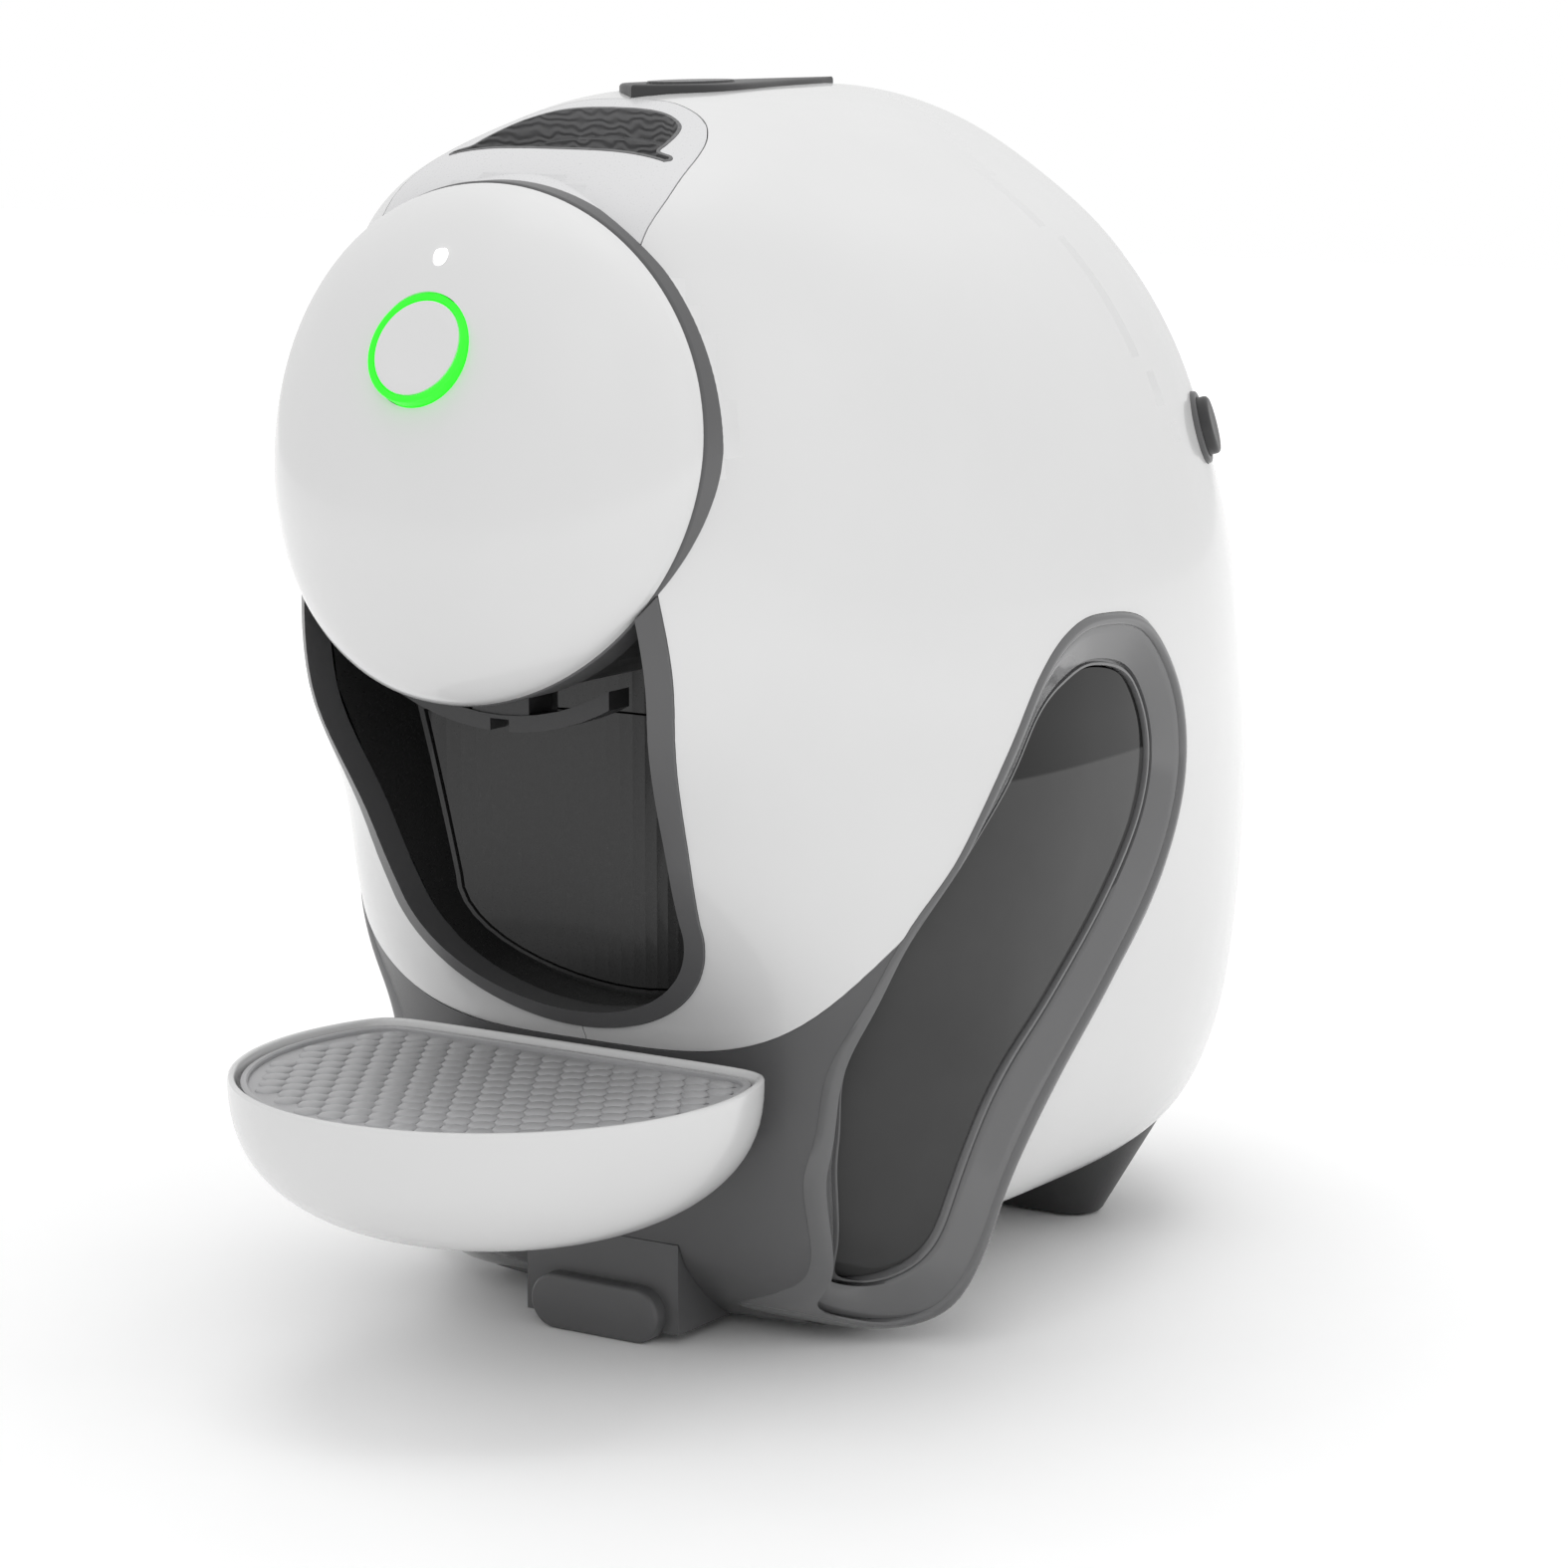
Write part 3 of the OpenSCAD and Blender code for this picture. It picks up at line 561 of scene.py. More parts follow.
def wave_material(name, color):
    """Dark plastic with the moulded wave relief of the slot's walls."""
    m = Nodes(name)
    at = m.place()
    wave = m.add("TexWave", Vector=at, Scale=0.16, Distortion=5.0, Detail=0.0)
    wave.bands_direction = "Z"
    wave.inputs["Detail Scale"].default_value = 1.6
    cloud = m.noise(at, 0.05).outputs["Fac"]
    m.link(m.mix(m.ramp(cloud, 0, 1), color, tuple(c * 1.25 for c in color[:3]) + (1,)), "Base Color")
    m.link(m.ramp(cloud, 0.42, 0.55), "Roughness")
    m.bump(wave.outputs["Fac"], 0.25)
    return m.material


def tank_material():
    """Smoked clear plastic: darker above the water, mid grey where water stands behind."""
    m = Nodes("smoked_tank")
    at = m.place()
    height = m.add("SeparateXYZ", Vector=at).outputs["Z"]
    wet = m.add("MapRange", Value=height)
    wet.inputs["From Min"].default_value = WATER_Z - 0.4
    wet.inputs["From Max"].default_value = WATER_Z + 0.4
    cloud = m.noise(at, 0.03).outputs["Fac"]
    deep = m.mix(m.ramp(cloud, 0, 1), grey(0.048), grey(0.055))
    m.link(m.mix(wet.outputs["Result"], deep, grey(0.008)), "Base Color")
    m.link(m.ramp(cloud, 0.05, 0.08), "Roughness")
    m.set(Specular_IOR_Level=0.25, IOR=1.45)
    return m.material


def floor_material():
    """Pale studio floor that brightens away from the machine, so it has no visible end."""
    m = Nodes("pale_floor")
    decimetre = 0.01
    at = m.place((decimetre, decimetre, decimetre))
    cloud = m.noise(at, 2).outputs["Fac"]
    m.link(m.mix(m.ramp(cloud, 0, 1), grey(0.945), grey(0.955)), "Base Color")
    length = m.add("VectorMath", Vector=at)
    length.operation = "LENGTH"
    glow = m.add("MapRange", Value=length.outputs["Value"])
    glow.inputs["From Min"].default_value = 4
    glow.inputs["From Max"].default_value = 14
    glow.inputs["To Max"].default_value = 0.35
    m.link(glow.outputs["Result"], "Emission Strength")
    m.link(m.ramp(cloud, 0.58, 0.62), "Roughness")
    m.set(Emission_Color=(1, 1, 1, 1))
    return m.material


WHITE = plastic("white_gloss", grey(0.66), 0.2, 0.004, 0.9, coat=0.35, spread=0.01)
PALE = plastic("pale_panel", grey(0.6, 0.01), 0.3, 0.01, 0.5, coat=0.1, spread=0.015)
GREY = plastic("grey_satin", grey(0.09, 0.02), 0.36, 0.012, 0.45)
# Bezel grey: the same grey satin as GREY, with real extra gloss and coat. Its lighter colour is a
# painted highlight for the bright reflections on the bezel band.
PAINTED_HIGHLIGHT_GREY = plastic("bezel_band_painted_highlight", grey(0.12, 0.02), 0.2, 0.006, 0.45, coat=0.5)
DARK = plastic("dark_satin", grey(0.03, 0.03), 0.4, 0.02, 0.45)
BLACK = plastic("black_gloss", grey(0.022), 0.3, 0.006, 0.8, coat=0.15, spread=0.1)
INNER = plastic("inner_plastic", grey(0.05), 0.5, 0.03, 0.5)
CREAM = plastic("cream_nylon", (0.6, 0.57, 0.48, 1), 0.45, 0.02, 0.4)
RUBBER = plastic("black_rubber", grey(0.015), 0.75, 0.05, 0.35, spread=0.15)
GRID = plastic("grid_grey", grey(0.4, 0.02), 0.35, 0.01, 0.5)
GREEN_LIGHT = light_material("green_light", (0.02, 0.85, 0.015, 1), 0.75)
WHITE_LIGHT = light_material("white_light", (1, 1, 1, 1), 1.1)
STEEL = metal("brushed_steel", grey(0.55), 0.3)
BRASS = metal("brass_fitting", (0.72, 0.5, 0.2, 1), 0.3)
BOARD = board_material()
WAVES = wave_material("slot_waves", grey(0.11, 0.02))
TANK = tank_material()


def dress(obj, material):
    obj.data.materials.clear()
    obj.data.materials.append(material)
    return obj


def piece(obj, name, body, material, slot, *nodes):
    """Names, dresses and mounts a finished piece that stands for CAD nodes."""
    obj.name = name
    obj.data.name = name
    dress(obj, material)
    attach(obj, body)
    if nodes:
        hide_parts(*nodes)
    return obj


# ---------------------------------------------------------------- shared cutters
def face_cut():
    """Drum ahead of the shells, ending in the curved seat of the face ring."""
    rim = circle(FACE_R, 160)
    front = np.c_[rim[:, 0], np.full(len(rim), -200.0), FACE_Z + rim[:, 1]]
    back = np.c_[rim[:, 0], ring_back(rim[:, 0], rim[:, 1]), FACE_Z + rim[:, 1]]
    verts = np.vstack([front, back, [[0, -200, FACE_Z], [0, ring_back(0, 0.0), FACE_Z]]])
    n = len(rim)
    faces = [(j, j + n, (j + 1) % n + n, (j + 1) % n) for j in range(n)]
    faces += [(2 * n, j, (j + 1) % n) for j in range(n)]
    faces += [(2 * n + 1, (j + 1) % n + n, j + n) for j in range(n)]
    return mesh("cut", verts, faces, smooth=False)


def snout(g=0):
    """Cone that carries the ring's outline back into the body, moved inward by g."""
    rim = circle(1, 160)
    r0, y0, r1, y1 = SNOUT
    ends = ((r0 - g, y0 + g), (r1 - g, y1 - g))
    rings = [np.c_[rim[:, 0] * r, np.full(len(rim), y), FACE_Z + rim[:, 1] * r] for r, y in ends]
    verts, faces = strip(rings, caps=True)
    return mesh("snout", verts, [f[::-1] for f in faces])


def bay_outline(g):
    """Mouth of the cup bay as [x, z], moved outward by g: a half ellipse under two sides."""
    w, h = 50 + g, BAY_LOW_Z - BAY_BOTTOM_Z + g
    a = np.radians(np.linspace(180, 360, 61))
    low = np.c_[w * np.cos(a), BAY_LOW_Z + h * np.sin(a)].tolist()
    right = [[BAY_HALF, 187], [BAY_HALF - 0.5, 199], [BAY_HALF - 2.5, 214]]
    curve = spline([[50, BAY_LOW_Z], [53.1, 150], [57.2, 174]] + right, 6)[1:]
    right = [[x + g, z] for x, z in curve]
    left = [[-x, z] for x, z in right[::-1]]
    return low + right + left


def bay_mouth(g):
    return prism("bay", bay_outline(g), -170, 0, 1)


def lip_z(x):
    """Height of the base's upper edge, which sweeps up towards the sides."""
    return BAY_BOTTOM_Z - 4 + 46 * (np.abs(x) / 96) ** 3.8


def base_zone(back, lift=0.0):
    """Everything below the base's upper edge and ahead of y = back."""
    x = np.linspace(-98, 98, 57)
    top = np.c_[x, lip_z(x) + lift].tolist()
    edge = top[-1][1]
    return prism("zone", [[-120, 0], [-120, edge]] + top + [[120, edge], [120, 0]], -115, back, 1)


def bezel_prism(side):
    ends = (50, 120) if side > 0 else (-120, -50)
    return prism("bezel_cut", loop(BEZEL_LINE, 8), *ends, 0)


def window_prism(side, g, low):
    """The window's outline moved inward by g, extruded outward from x = low."""
    line = shrink(loop(WINDOW_LINE, 8), g)
    ends = (low, 130) if side > 0 else (-130, -low)
    return prism("window_cut", line, *ends, 0)


def panel_prism(g=0.0):
    """The top panel's outline moved inward by g, as an upright shaft."""
    half = spline(PANEL_LINE, 6)
    half[:, 0] = np.where(half[:, 0] > 0.01, half[:, 0] - g, 0)
    half[:, 1] -= g * (half[:, 0] < 30)
    line = [[42 - g, -150]] + half.tolist()
    return prism("panel", both_sides(line), 285, 345, 2)


def slot_prism():
    line = [[0, SLOT_Y]] + spline(SLOT_LINE, 4).tolist()
    return prism("slot", both_sides(line), 285, 345, 2)


def top_button_hole(g):
    """Oval shaft round the top button, widened by g."""
    oval = circle(1, 64) * [8.4 + g, 17.4 + g] + [0, TOP_BUTTON_Y]
    return prism("oval", oval, 320, 345, 2)


def brew_place():
    """Puts Z along the brew button's axis, pointing out of the cover."""
    return Matrix.Translation(BUTTON_AT) @ Matrix.Rotation(math.radians(BUTTON_TILT), 4, "X")


def power_place():
    """Puts Z along the power button's axis, pointing out of the shell."""
    turn = Matrix.Rotation(math.radians(POWER_TURN), 4, "Z")
    tilt = Matrix.Rotation(math.radians(POWER_TILT), 4, "Y")
    return Matrix.Translation(POWER_AT) @ (turn @ tilt)


def rod(r, low, high, matrix=None, n=96):
    obj = prism("rod", circle(r, n), low, high, 2)
    return placed(obj, matrix) if matrix else obj


def rod_y(r, low, high, x, z, n=96):
    return prism("rod", circle(r, n, x, z), low, high, 1)


# ---------------------------------------------------------------- outer shells
def shell(side):
    """One white half of the body, with every opening cut."""
    obj = combine(form("shell", BODY), snout(), "UNION")
    hollow = combine(form("hollow", BODY, WALL, 3, 72), snout(WALL), "UNION")
    ends = (-130, 0.15) if side > 0 else (-0.15, 130)
    away = block(*ends, -210, 210, 0, 345)
    cut(obj, hollow, away, face_cut(), bay_mouth(0), panel_prism(), base_zone(BASE_BACK_Y))
    cut(obj, bezel_prism(side))
    cut(obj, top_button_hole(0.2))
    if side > 0:
        cut(obj, rod(COLLAR_R + 0.2, -15, 15, power_place()), block(*INLET_HOLE))
    return shade(obj, form_surface(BODY), cone_surface(*SNOUT))


for side, hand in ((1, "right"), (-1, "left")):
    name = "side_shell_" + hand
    piece(shell(side), "shell_" + hand, "machine", WHITE, "white_gloss", name)

panel = combine(form("panel_body", BODY), snout(), "UNION")
keep(panel, panel_prism(0.35))
cut(panel, combine(form("hollow", BODY, 3, 3, 72), snout(3), "UNION"), face_cut(), slot_prism())
shade(panel, form_surface(BODY), cone_surface(*SNOUT))
piece(panel, "top_panel_skin", "machine", PALE, "pale_satin", "top_panel")


def slot_tube(outer, inner, depth, bulge=False):
    """Wall between two insets of the slot's outline, from a depth down.

    A bulge follows only the wide part of the outline, without the two wings.
    """
    half = SLOT_LINE[4:] if bulge else SLOT_LINE
    start = [[0, SLOT_Y]]
    if bulge:
        start += [[SLOT_HALF, SLOT_Y], [SLOT_HALF, -90]]
    line = both_sides(start + spline(half, 4).tolist())
    body = form("slot_body", BODY, depth, 8, 96)
    obj = keep(prism("tube", shrink(line, outer), 294, 345, 2), body)
    return cut(obj, prism("space", shrink(line, inner), 290, 350, 2))


liner = slot_tube(0.1, 1.0, -0.1)
for outer, inner, depth in ((0.9, 3.0, 5.5), (2.9, 6.0, 9.5)):
    combine(liner, slot_tube(outer, inner, depth, True), "UNION")
combine(liner, block(-19, 12, -76, -70, 294, 316), "UNION")
piece(shade(liner), "slot_liner_skin", "machine", WAVES, "dark_satin", "slot_liner")


# ---------------------------------------------------------------- face
def face_ring():
    """Grey ring with softly rounded front edges."""
    a = np.linspace(0, 2 * np.pi, 192, endpoint=False)
    soft = 0.9
    profile = [(61, 1, 0), (61, 0, 0)]
    profile += [
        (FACE_R - soft + soft * math.sin(t), 0, soft - soft * math.cos(t))
        for t in np.linspace(0, math.pi / 2, 6)
    ]
    profile += [(FACE_R, 1, 0)]
    rings = []
    for r, back, inward in profile:
        x, v = r * np.cos(a), r * np.sin(a)
        y = ring_back(x, v) if back else face_y(x, v) + inward
        rings.append(np.c_[x, y, FACE_Z + v])
    rings.append(rings[0])
    verts, faces = strip(rings)
    obj = mesh("ring", verts, faces)
    merge(obj)
    return shade(obj)


def front_cover():
    """Domed cover, closed behind, with its button hole and light hole."""
    a = np.linspace(0, 2 * np.pi, 160, endpoint=False)
    spread = np.sin(np.linspace(0, math.pi / 2, 30))[1:] * (COVER_R - 0.05)
    rings = []
    for r in spread:
        x, v = r * np.cos(a), r * np.sin(a)
        rings.append(np.c_[x, dome_y(x, v, COVER_R, DOME_H), FACE_Z + v])
    for r in spread[::-1]:
        x, v = r * np.cos(a), r * np.sin(a)
        back = np.minimum(face_y(x, v) - 0.2, dome_y(x, v, COVER_R - 4, DOME_H - WALL))
        rings.append(np.c_[x, back, FACE_Z + v])
    obj = mesh("cover", *strip(rings, caps=True))
    merge(obj)
    cut(obj, rod(LIGHT_R + 0.2, -15, 15, brew_place()), rod_y(STATUS_R, -150, -110, 0, STATUS_Z, 48))
    return shade(obj, dome_surface())


piece(face_ring(), "face_ring_skin", "machine", GREY, "grey_satin", "face_ring")
piece(front_cover(), "front_cover_skin", "machine", WHITE, "white_gloss", "front_cover")


button = lathe(
    "button",
    [(0.01, -7), (3, -7), (3, -2.6), (BUTTON_R, -2.6)]
    + rounded(BUTTON_R, 0.35, 0.4)
    + [(9, 0.3), (5, 0.27), (0.01, 0.25)],
    matrix=brew_place(),
)
piece(button, "brew_button_cap", "brew_button", WHITE, "white_gloss", "brew_button")
light = lathe(
    "light",
    [(BUTTON_R + 0.3, -5), (LIGHT_R, -5)]
    + rounded(LIGHT_R, 0.3, 0.3)
    + [(BUTTON_R + 0.7, 0.3), (BUTTON_R + 0.3, 0.1), (BUTTON_R + 0.3, -5)],
    matrix=brew_place(),
)
piece(light, "light_ring_lens", "machine", GREEN_LIGHT, "light_green", "light_ring")


# ---------------------------------------------------------------- cup bay
def bay_trim():
    """Grey rim round the mouth of the cup bay, proud of the shells by 0.6."""
    obj = form("trim", BODY, -0.6)
    keep(obj, bay_mouth(-0.1), block(-70, 70, -160, -60, 80, 216))
    drum = rod_y(FACE_R + 0.3, -170, 10, 0, FACE_Z, 192)
    cut(obj, form("back", BODY, 7, 8, 160), bay_mouth(-TRIM_W), drum)
    return shade(obj, form_surface(BODY, -0.6))


piece(bay_trim(), "bay_trim_skin", "machine", GREY, "grey_satin", "bay_trim")


# ---------------------------------------------------------------- base
def base_housing():
    """Grey base with its openings for the foot, screws and tray rails."""
    obj = keep(form("base", BASE), base_zone(BASE_BACK_Y - 0.1, -0.15))
    cut(obj, form("hollow", BASE, WALL, 3, 72), bay_mouth(0), bezel_prism(1), bezel_prism(-1))
    cut(obj, block(-25.2, 25.2, -90, -49.8, -1, 28.2), block(-17.3, 17.3, -50, -42.7, -1, 8))
    for x in (-120, 62):
        cut(obj, block(x, x + 58, -45, 1, -1, 48))
    for x in (-CASE_SCREW_X, CASE_SCREW_X):
        cut(obj, rod(4.2, -1, 12, Matrix.Translation((x, CASE_SCREW_Y, 0)), 32))
    for x in (-RAIL_X, RAIL_X):
        cut(obj, rod_y(4.4, -90, -50, x, RAIL_Z, 48))
    return shade(obj, form_surface(BASE))


piece(base_housing(), "base_housing_skin", "machine", GREY, "grey_satin", "base_housing")


# ---------------------------------------------------------------- sides and tank
def bezel(side):
    """Frame round the tank: a rounded rim, a band that slopes inward, and a groove."""
    outer = shrink(loop(BEZEL_LINE, 12), 0.08)
    inner = loop(WINDOW_LINE, 12)
    gaps = np.linalg.norm(outer[:, None] - inner[None], axis=2)
    near = inner[np.argmin(gaps, axis=1)]
    for _ in range(6):
        near = (np.roll(near, 1, 0) + 2 * near + np.roll(near, -1, 0)) / 4
    # share of the way from the outer outline to the window, and depth below the skin
    rim = [(0, 9), (0, 0.2), (0.02, -0.4), (0.06, -0.8), (0.11, -0.9), (0.17, -0.8), (0.21, -0.4)]
    band = [(0.23, 0.1), (0.24, 0.5), (0.27, 0.55), (0.4, 1.4), (0.6, 2.9), (0.8, 4.4), (0.86, 4.9)]
    groove = [(0.88, 6.2), (0.92, 6.2), (0.94, 5.2), (0.985, 5.3), (1.0, 5.8), (1.0, 9)]
    rings = []
    for share, depth in rim + band + groove:
        line = outer + (near - outer) * share
        x = side_x(SIDE, depth, line[:, 0], line[:, 1])
        rings.append(np.c_[side * x, line[:, 0], line[:, 1]])
    rings.append(rings[0])
    obj = mesh("bezel", *strip(rings))
    merge(obj)
    return shade(obj, angle=50)


# Both bezels wear the grey whose lighter colour is a painted highlight.
piece(bezel(1), "tank_bezel_skin", "machine", PAINTED_HIGHLIGHT_GREY, "grey_satin", "tank_bezel")
piece(bezel(-1), "cover_bezel_skin", "machine", PAINTED_HIGHLIGHT_GREY, "grey_satin", "cover_bezel")


def tank():
    """Smoked tank with its filling hole on top and its valve port low on the inner side."""
    obj = keep(form("tank", SIDE, TANK_DEPTH, 6, 128), window_prism(1, 0.6, 54))
    inside = keep(form("inside", SIDE, TANK_DEPTH + 2.5, 3, 72), window_prism(1, 3, 56.4))
    port = prism("port", circle(4.5, 32, VALVE_Y, VALVE_Z), 50, 58, 0)
    cut(obj, inside, block(64, 86, 4, 26, 165, 190), port)
    return shade(obj, form_surface(SIDE, TANK_DEPTH))


def side_cover():
    """Closed cover in the left frame, where the right one holds the tank."""
    obj = keep(form("side_cover", SIDE, SIDE_COVER_DEPTH, 6, 128), window_prism(-1, 0, 50))
    cut(obj, form("inside", SIDE, SIDE_COVER_DEPTH + 3, 3, 72))
    return shade(obj, form_surface(SIDE, SIDE_COVER_DEPTH))


piece(tank(), "water_tank_skin", "tank", TANK, "smoked_clear", "water_tank")
piece(side_cover(), "side_cover_skin", "machine", DARK, "dark_satin", "side_cover")


# ---------------------------------------------------------------- drip tray
def tray_ring(r, z, back):
    """Round outline with a flat rear side. The power p keeps its corners small."""
    p = 16.0
    a = np.linspace(0, 2 * np.pi, 160, endpoint=False)
    rear = np.maximum(np.sin(a), 1e-3) / back
    reach = (r**-p + rear**p) ** (-1 / p)
    return np.c_[reach * np.cos(a), TRAY_Y + reach * np.sin(a), np.full_like(a, z)]


def bowl_rings(g):
    """Rings of the bowl from its middle up to its rim, moved inward by g."""
    depth = TRAY_H - g
    out = []
    for t in np.linspace(0, 1, 22)[:-1]:
        d = depth * math.cos(t * math.pi / 2)
        r = (TRAY_R - g) * max(1 - (d / depth) ** 2.5, 0) ** 0.4
        out.append(tray_ring(max(r, 0.3), TRAY_Z - d, TRAY_BACK - g))
    return out


def drip_tray():
    """Bowl with a rounded rim, and the ledge inside it that carries the grid."""
    soft = 1.0
    rings = bowl_rings(0)
    for t in np.linspace(0, math.pi, 9):
        g = soft * (1 - math.cos(t))
        rings.append(tray_ring(TRAY_R - g, TRAY_Z - soft + soft * math.sin(t), TRAY_BACK - g))
    rings += bowl_rings(2.6)[::-1]
    obj = mesh("tray", *strip(rings, caps=True))
    merge(obj)
    corners = ((63.5, 76.5, 28), (67.4, 76.5, 32), (67.4, 79, 32), (63.5, 79, 28), (63.5, 76.5, 28))
    ledge = [tray_ring(r, z, back) for r, z, back in corners]
    shelf = merge(mesh("ledge", *strip(ledge)))
    return shade(obj, angle=60), shelf


bowl, shelf = drip_tray()
piece(bowl, "drip_tray_bowl", "tray", WHITE, "white_gloss", "drip_tray")
piece(shelf, "drip_tray_ledge", "tray", WHITE, "white_gloss")


SCALE_STEP_X = 7.6
SCALE_STEP_Y = 6.2
SCALE_R = (3.5, 4.0)
SCALE_RISE = 1.35
SCALE_AROUND = 16
HOLE_AROUND = 10


def scale_spots():
    """Middles of the staggered scales, in x and y from the tray's middle."""
    spots = []
    for row in range(-11, 6):
        for k in range(-9, 10):
            x = (k + (row % 2) / 2) * SCALE_STEP_X
            y = row * SCALE_STEP_Y
            if math.hypot(x, y) < 61.5 and y < 29:
                spots.append((x, y))
    return spots


def grid_plate():
    """Plate with a raised border and a drain hole beside every scale."""
    edge = [(66.0, 79.1), (67.1, 79.3), (67.1, 81.2), (66.6, 81.5)]
    border = [(65.6, 81.5), (65.2, 81.1), (65.2, 80.2)]
    rings = [tray_ring(r, z, TRAY_BACK - (TRAY_R - r)) for r, z in edge + border]
    obj = merge(mesh("grid", *strip(rings, caps=True)))
    verts, faces = [], []
    for x, y in scale_spots():
        hole = circle(1.05, HOLE_AROUND, x + SCALE_STEP_X / 2, TRAY_Y + y)
        rings = [np.c_[hole, np.full(HOLE_AROUND, z)] for z in (78, 83)]
        ring_faces = strip(rings, caps=True)[1]
        faces += [tuple(len(verts) + j for j in face) for face in ring_faces]
        verts += np.vstack(rings).tolist()
    cut(obj, mesh("holes", verts, faces, smooth=False))
    return shade(obj)


def grid_scales():
    """Low domes, higher at their front edge."""
    verts, faces = [], []
    for x, y in scale_spots():
        rings = []
        for lift in np.linspace(0, math.pi / 2, 6):
            a = np.arange(SCALE_AROUND) * 2 * math.pi / SCALE_AROUND
            u = math.cos(lift) * np.cos(a)
            v = math.cos(lift) * np.sin(a)
            z = 80.1 + SCALE_RISE * math.sin(lift) * (0.8 - 0.2 * v)
            rings.append(np.c_[x + SCALE_R[0] * u, TRAY_Y + y + SCALE_R[1] * v, z])
        ring_verts, ring_faces = strip(rings)
        faces += [tuple(len(verts) + j for j in face) for face in ring_faces]
        verts += ring_verts.tolist()
    return mesh("scales", verts, faces)


piece(grid_plate(), "drip_grid_plate", "grid", GRID, "grid_grey", "drip_grid")
piece(grid_scales(), "drip_grid_scales", "grid", GRID, "grid_grey")


# ---------------------------------------------------------------- feet and buttons
def pill_ring(x, r):
    """Outline with half round ends of radius r about x and -x."""
    a = np.linspace(0, 2 * np.pi, 96, endpoint=False)
    side = np.sign(np.round(np.cos(a), 6)) * x
    return side + r * np.cos(a), r * np.sin(a)


def pill(x, r, y0, y1, soft):
    """Bar that stands on the floor, with half round ends and a rounded front edge."""
    edge = np.linspace(0, math.pi / 2, 6)
    profile = [(0, y1)] + [(soft * (1 - math.cos(t)), y0 + soft * (1 - math.sin(t))) for t in edge]
    rings = []
    for inward, y in profile:
        across, up = pill_ring(x, r - inward)
        rings.append(np.c_[across, np.full(len(up), y), r + up])
    return merge(mesh("pill", *strip(rings, caps=True)))


foot = pill(FRONT_FOOT_HALF, FRONT_FOOT_R, -79.5, -74, 1.2)
combine(foot, block(-25, 25, -75, -50, 3, 28), "UNION")
combine(foot, block(-17, 17, -50.4, -43, 3, 7.9), "UNION")
for x in (-10, 10):
    cut(foot, rod(1.8, -1, 20, Matrix.Translation((x, -46.5, 0)), 32))
piece(shade(foot), "front_foot_skin", "machine", GREY, "grey_satin", "front_foot")


def rear_foot():
    """Tapered bar with round ends."""
    rings = []
    for r, z in ((8.4, 0.8), (9.2, 1.6), (28, 33.8)):
        across, along = pill_ring(REAR_FOOT_X, r)
        rings.append(np.c_[across, REAR_FOOT_Y + along, np.full(len(along), z)])
    obj = merge(mesh("rear_foot", *strip(rings, caps=True)))
    cut(obj, form("body", BODY, -0.05))
    for x in (-REAR_FOOT_X, REAR_FOOT_X):
        cut(obj, rod(6.2, 0, 2.3, Matrix.Translation((x, REAR_FOOT_Y, 0)), 64))
    return shade(obj)


piece(rear_foot(), "rear_foot_skin", "machine", DARK, "dark_satin", "rear_foot")

cap = lathe(
    "power_cap",
    [(0.01, -5), (POWER_R, -5)] + rounded(POWER_R, 4.2, 1.2) + [(5, 4.1), (0.01, 4.0)],
    matrix=power_place(),
)
piece(cap, "power_button_cap", "power_button", DARK, "dark_satin", "power_button")
collar = lathe(
    "collar",
    [(8.7, -5), (COLLAR_R, -5)]
    + rounded(COLLAR_R, 1.2, 0.7)
    + [(9.0, 1.2), (8.7, 0.9), (8.7, -5)],
    matrix=power_place(),
)
piece(collar, "power_collar_skin", "machine", GREY, "grey_satin", "power_collar")


def top_pad():
    """Thin pad on the crown, with its upper edge rounded."""
    line = both_sides(spline(PAD_LINE, 5).tolist())
    rings = []
    for g, z in ((0, 331), (0, 334.6), (0.25, 335.1), (0.8, 335.4)):
        p = shrink(line, g)
        rings.append(np.c_[p, np.full(len(p), z)])
    obj = merge(mesh("pad", *strip(rings, caps=True)))
    cut(obj, form("body", BODY, -0.02), top_button_hole(0))
    return shade(obj)


piece(top_pad(), "top_pad_skin", "machine", DARK, "dark_satin", "top_pad")

# ---------------------------------------------------------------- carried CAD nodes
KEPT = {
    WHITE_LIGHT: "status_light",
    BLACK: "bay_liner pod_bin",
    DARK: "outlet_housing coffee_outlet tray_bracket tank_lid",
    GREY: "top_button",
    INNER: "base_plate tank_dock pod_chute chassis flow_meter brew_chamber"
    " mains_inlet button_switches clamp_jaw",
    CREAM: "drive_pinion tank_valve",
    RUBBER: "foot_pads dock_seal pump_mounts water_hoses",
    STEEL: "needle_plate clamp_guides clamp_motor pump heater case_screws",
    BRASS: "relief_valve",
    BOARD: "control_board power_board",
}
for material, names in KEPT.items():
    for name in names.split():
        dress(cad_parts[name], material)

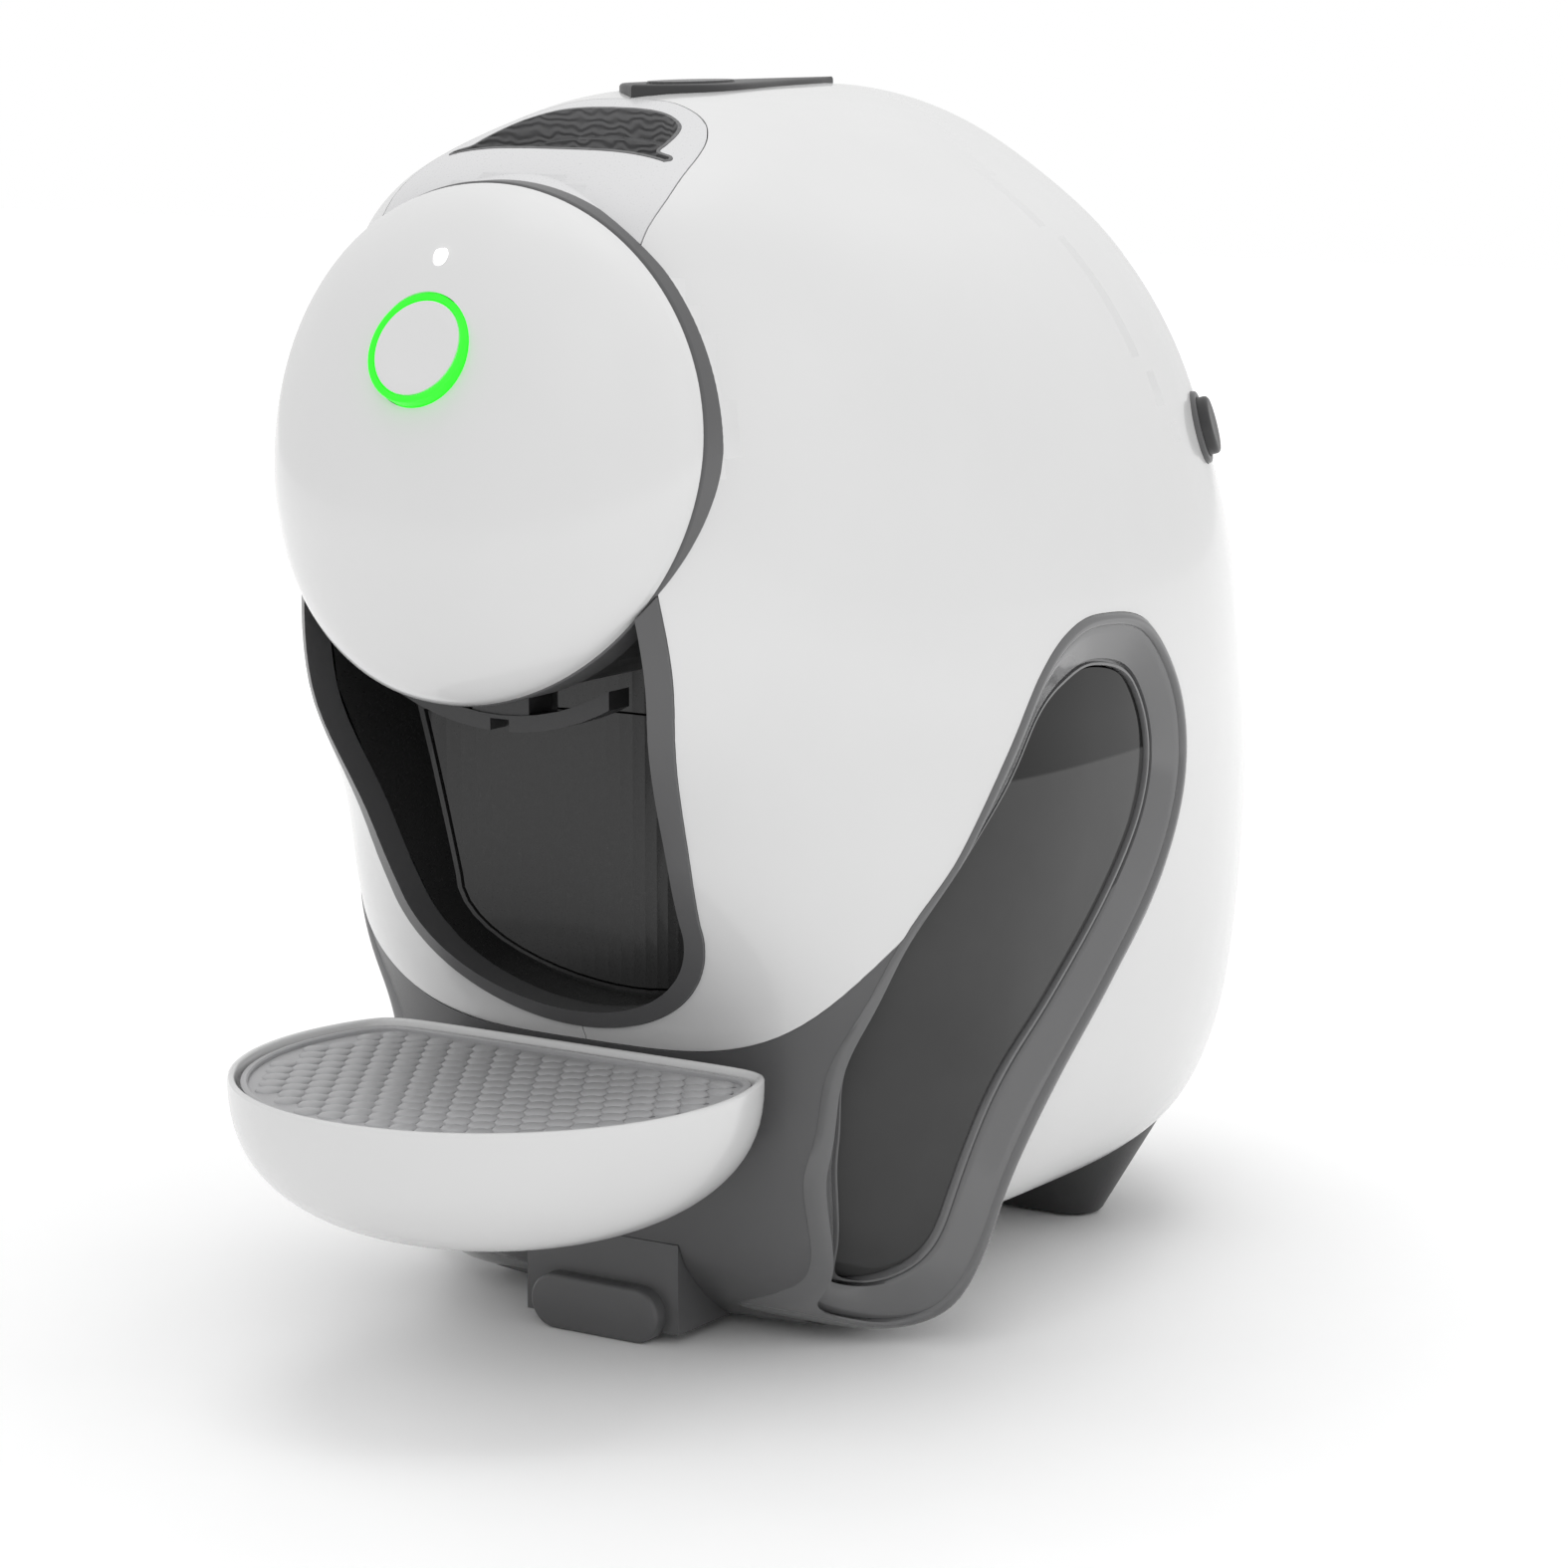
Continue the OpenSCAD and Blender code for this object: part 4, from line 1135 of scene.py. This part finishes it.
# ---------------------------------------------------------------- stage, light, camera
FLOOR_HALF = 4000
corners = [[x * FLOOR_HALF, y * FLOOR_HALF, 0] for x, y in ((-1, -1), (1, -1), (1, 1), (-1, 1))]
floor = mesh("floor", corners, [(0, 1, 2, 3)])
dress(floor, floor_material())

world = bpy.data.worlds.new("studio")
world.use_nodes = True
background = world.node_tree.nodes["Background"]
background.inputs["Color"].default_value = (1, 1, 1, 1)
# The background itself is white, but it lights the machine a little less.
rays = world.node_tree.nodes.new("ShaderNodeLightPath").outputs["Is Camera Ray"]
strength = world.node_tree.nodes.new("ShaderNodeMapRange")
strength.inputs["To Min"].default_value = 0.8
strength.inputs["To Max"].default_value = 1.0
world.node_tree.links.new(rays, strength.inputs["Value"])
world.node_tree.links.new(strength.outputs["Result"], background.inputs["Strength"])
bpy.context.scene.world = world
bpy.context.scene.view_settings.view_transform = "Standard"


def softbox(name, at, size, power):
    """Square light that faces the middle of the machine and leaves no mirror image."""
    data = bpy.data.lights.new(name, "AREA")
    data.size = size
    data.energy = power
    obj = bpy.data.objects.new(name, data)
    bpy.context.scene.collection.objects.link(obj)
    obj.location = Vector(at)
    look = Vector((0, 0, MID_Z * MM)) - obj.location
    obj.rotation_euler = look.to_track_quat("-Z", "Y").to_euler()
    obj.visible_glossy = False
    return obj


softbox("key", (0.9, -1.6, 1.3), 0.9, 4)
softbox("side", (2.0, 0.2, 0.7), 1.0, 4)
softbox("top", (-0.2, 0.3, 1.9), 1.4, 14)

CAMERA_AT = Vector((0.7246, -1.0999, 0.3725))
CAMERA_LOOK = Vector((-0.5364, 0.8259, -0.1736))
CAMERA_LENS = 109.7
camera = bpy.data.objects.new("camera", bpy.data.cameras.new("camera"))
bpy.context.scene.collection.objects.link(camera)
camera.data.sensor_width = 36
camera.data.lens = CAMERA_LENS
camera.data.clip_end = 20
camera.location = CAMERA_AT
camera.rotation_euler = CAMERA_LOOK.to_track_quat("-Z", "Y").to_euler()
bpy.context.scene.camera = camera
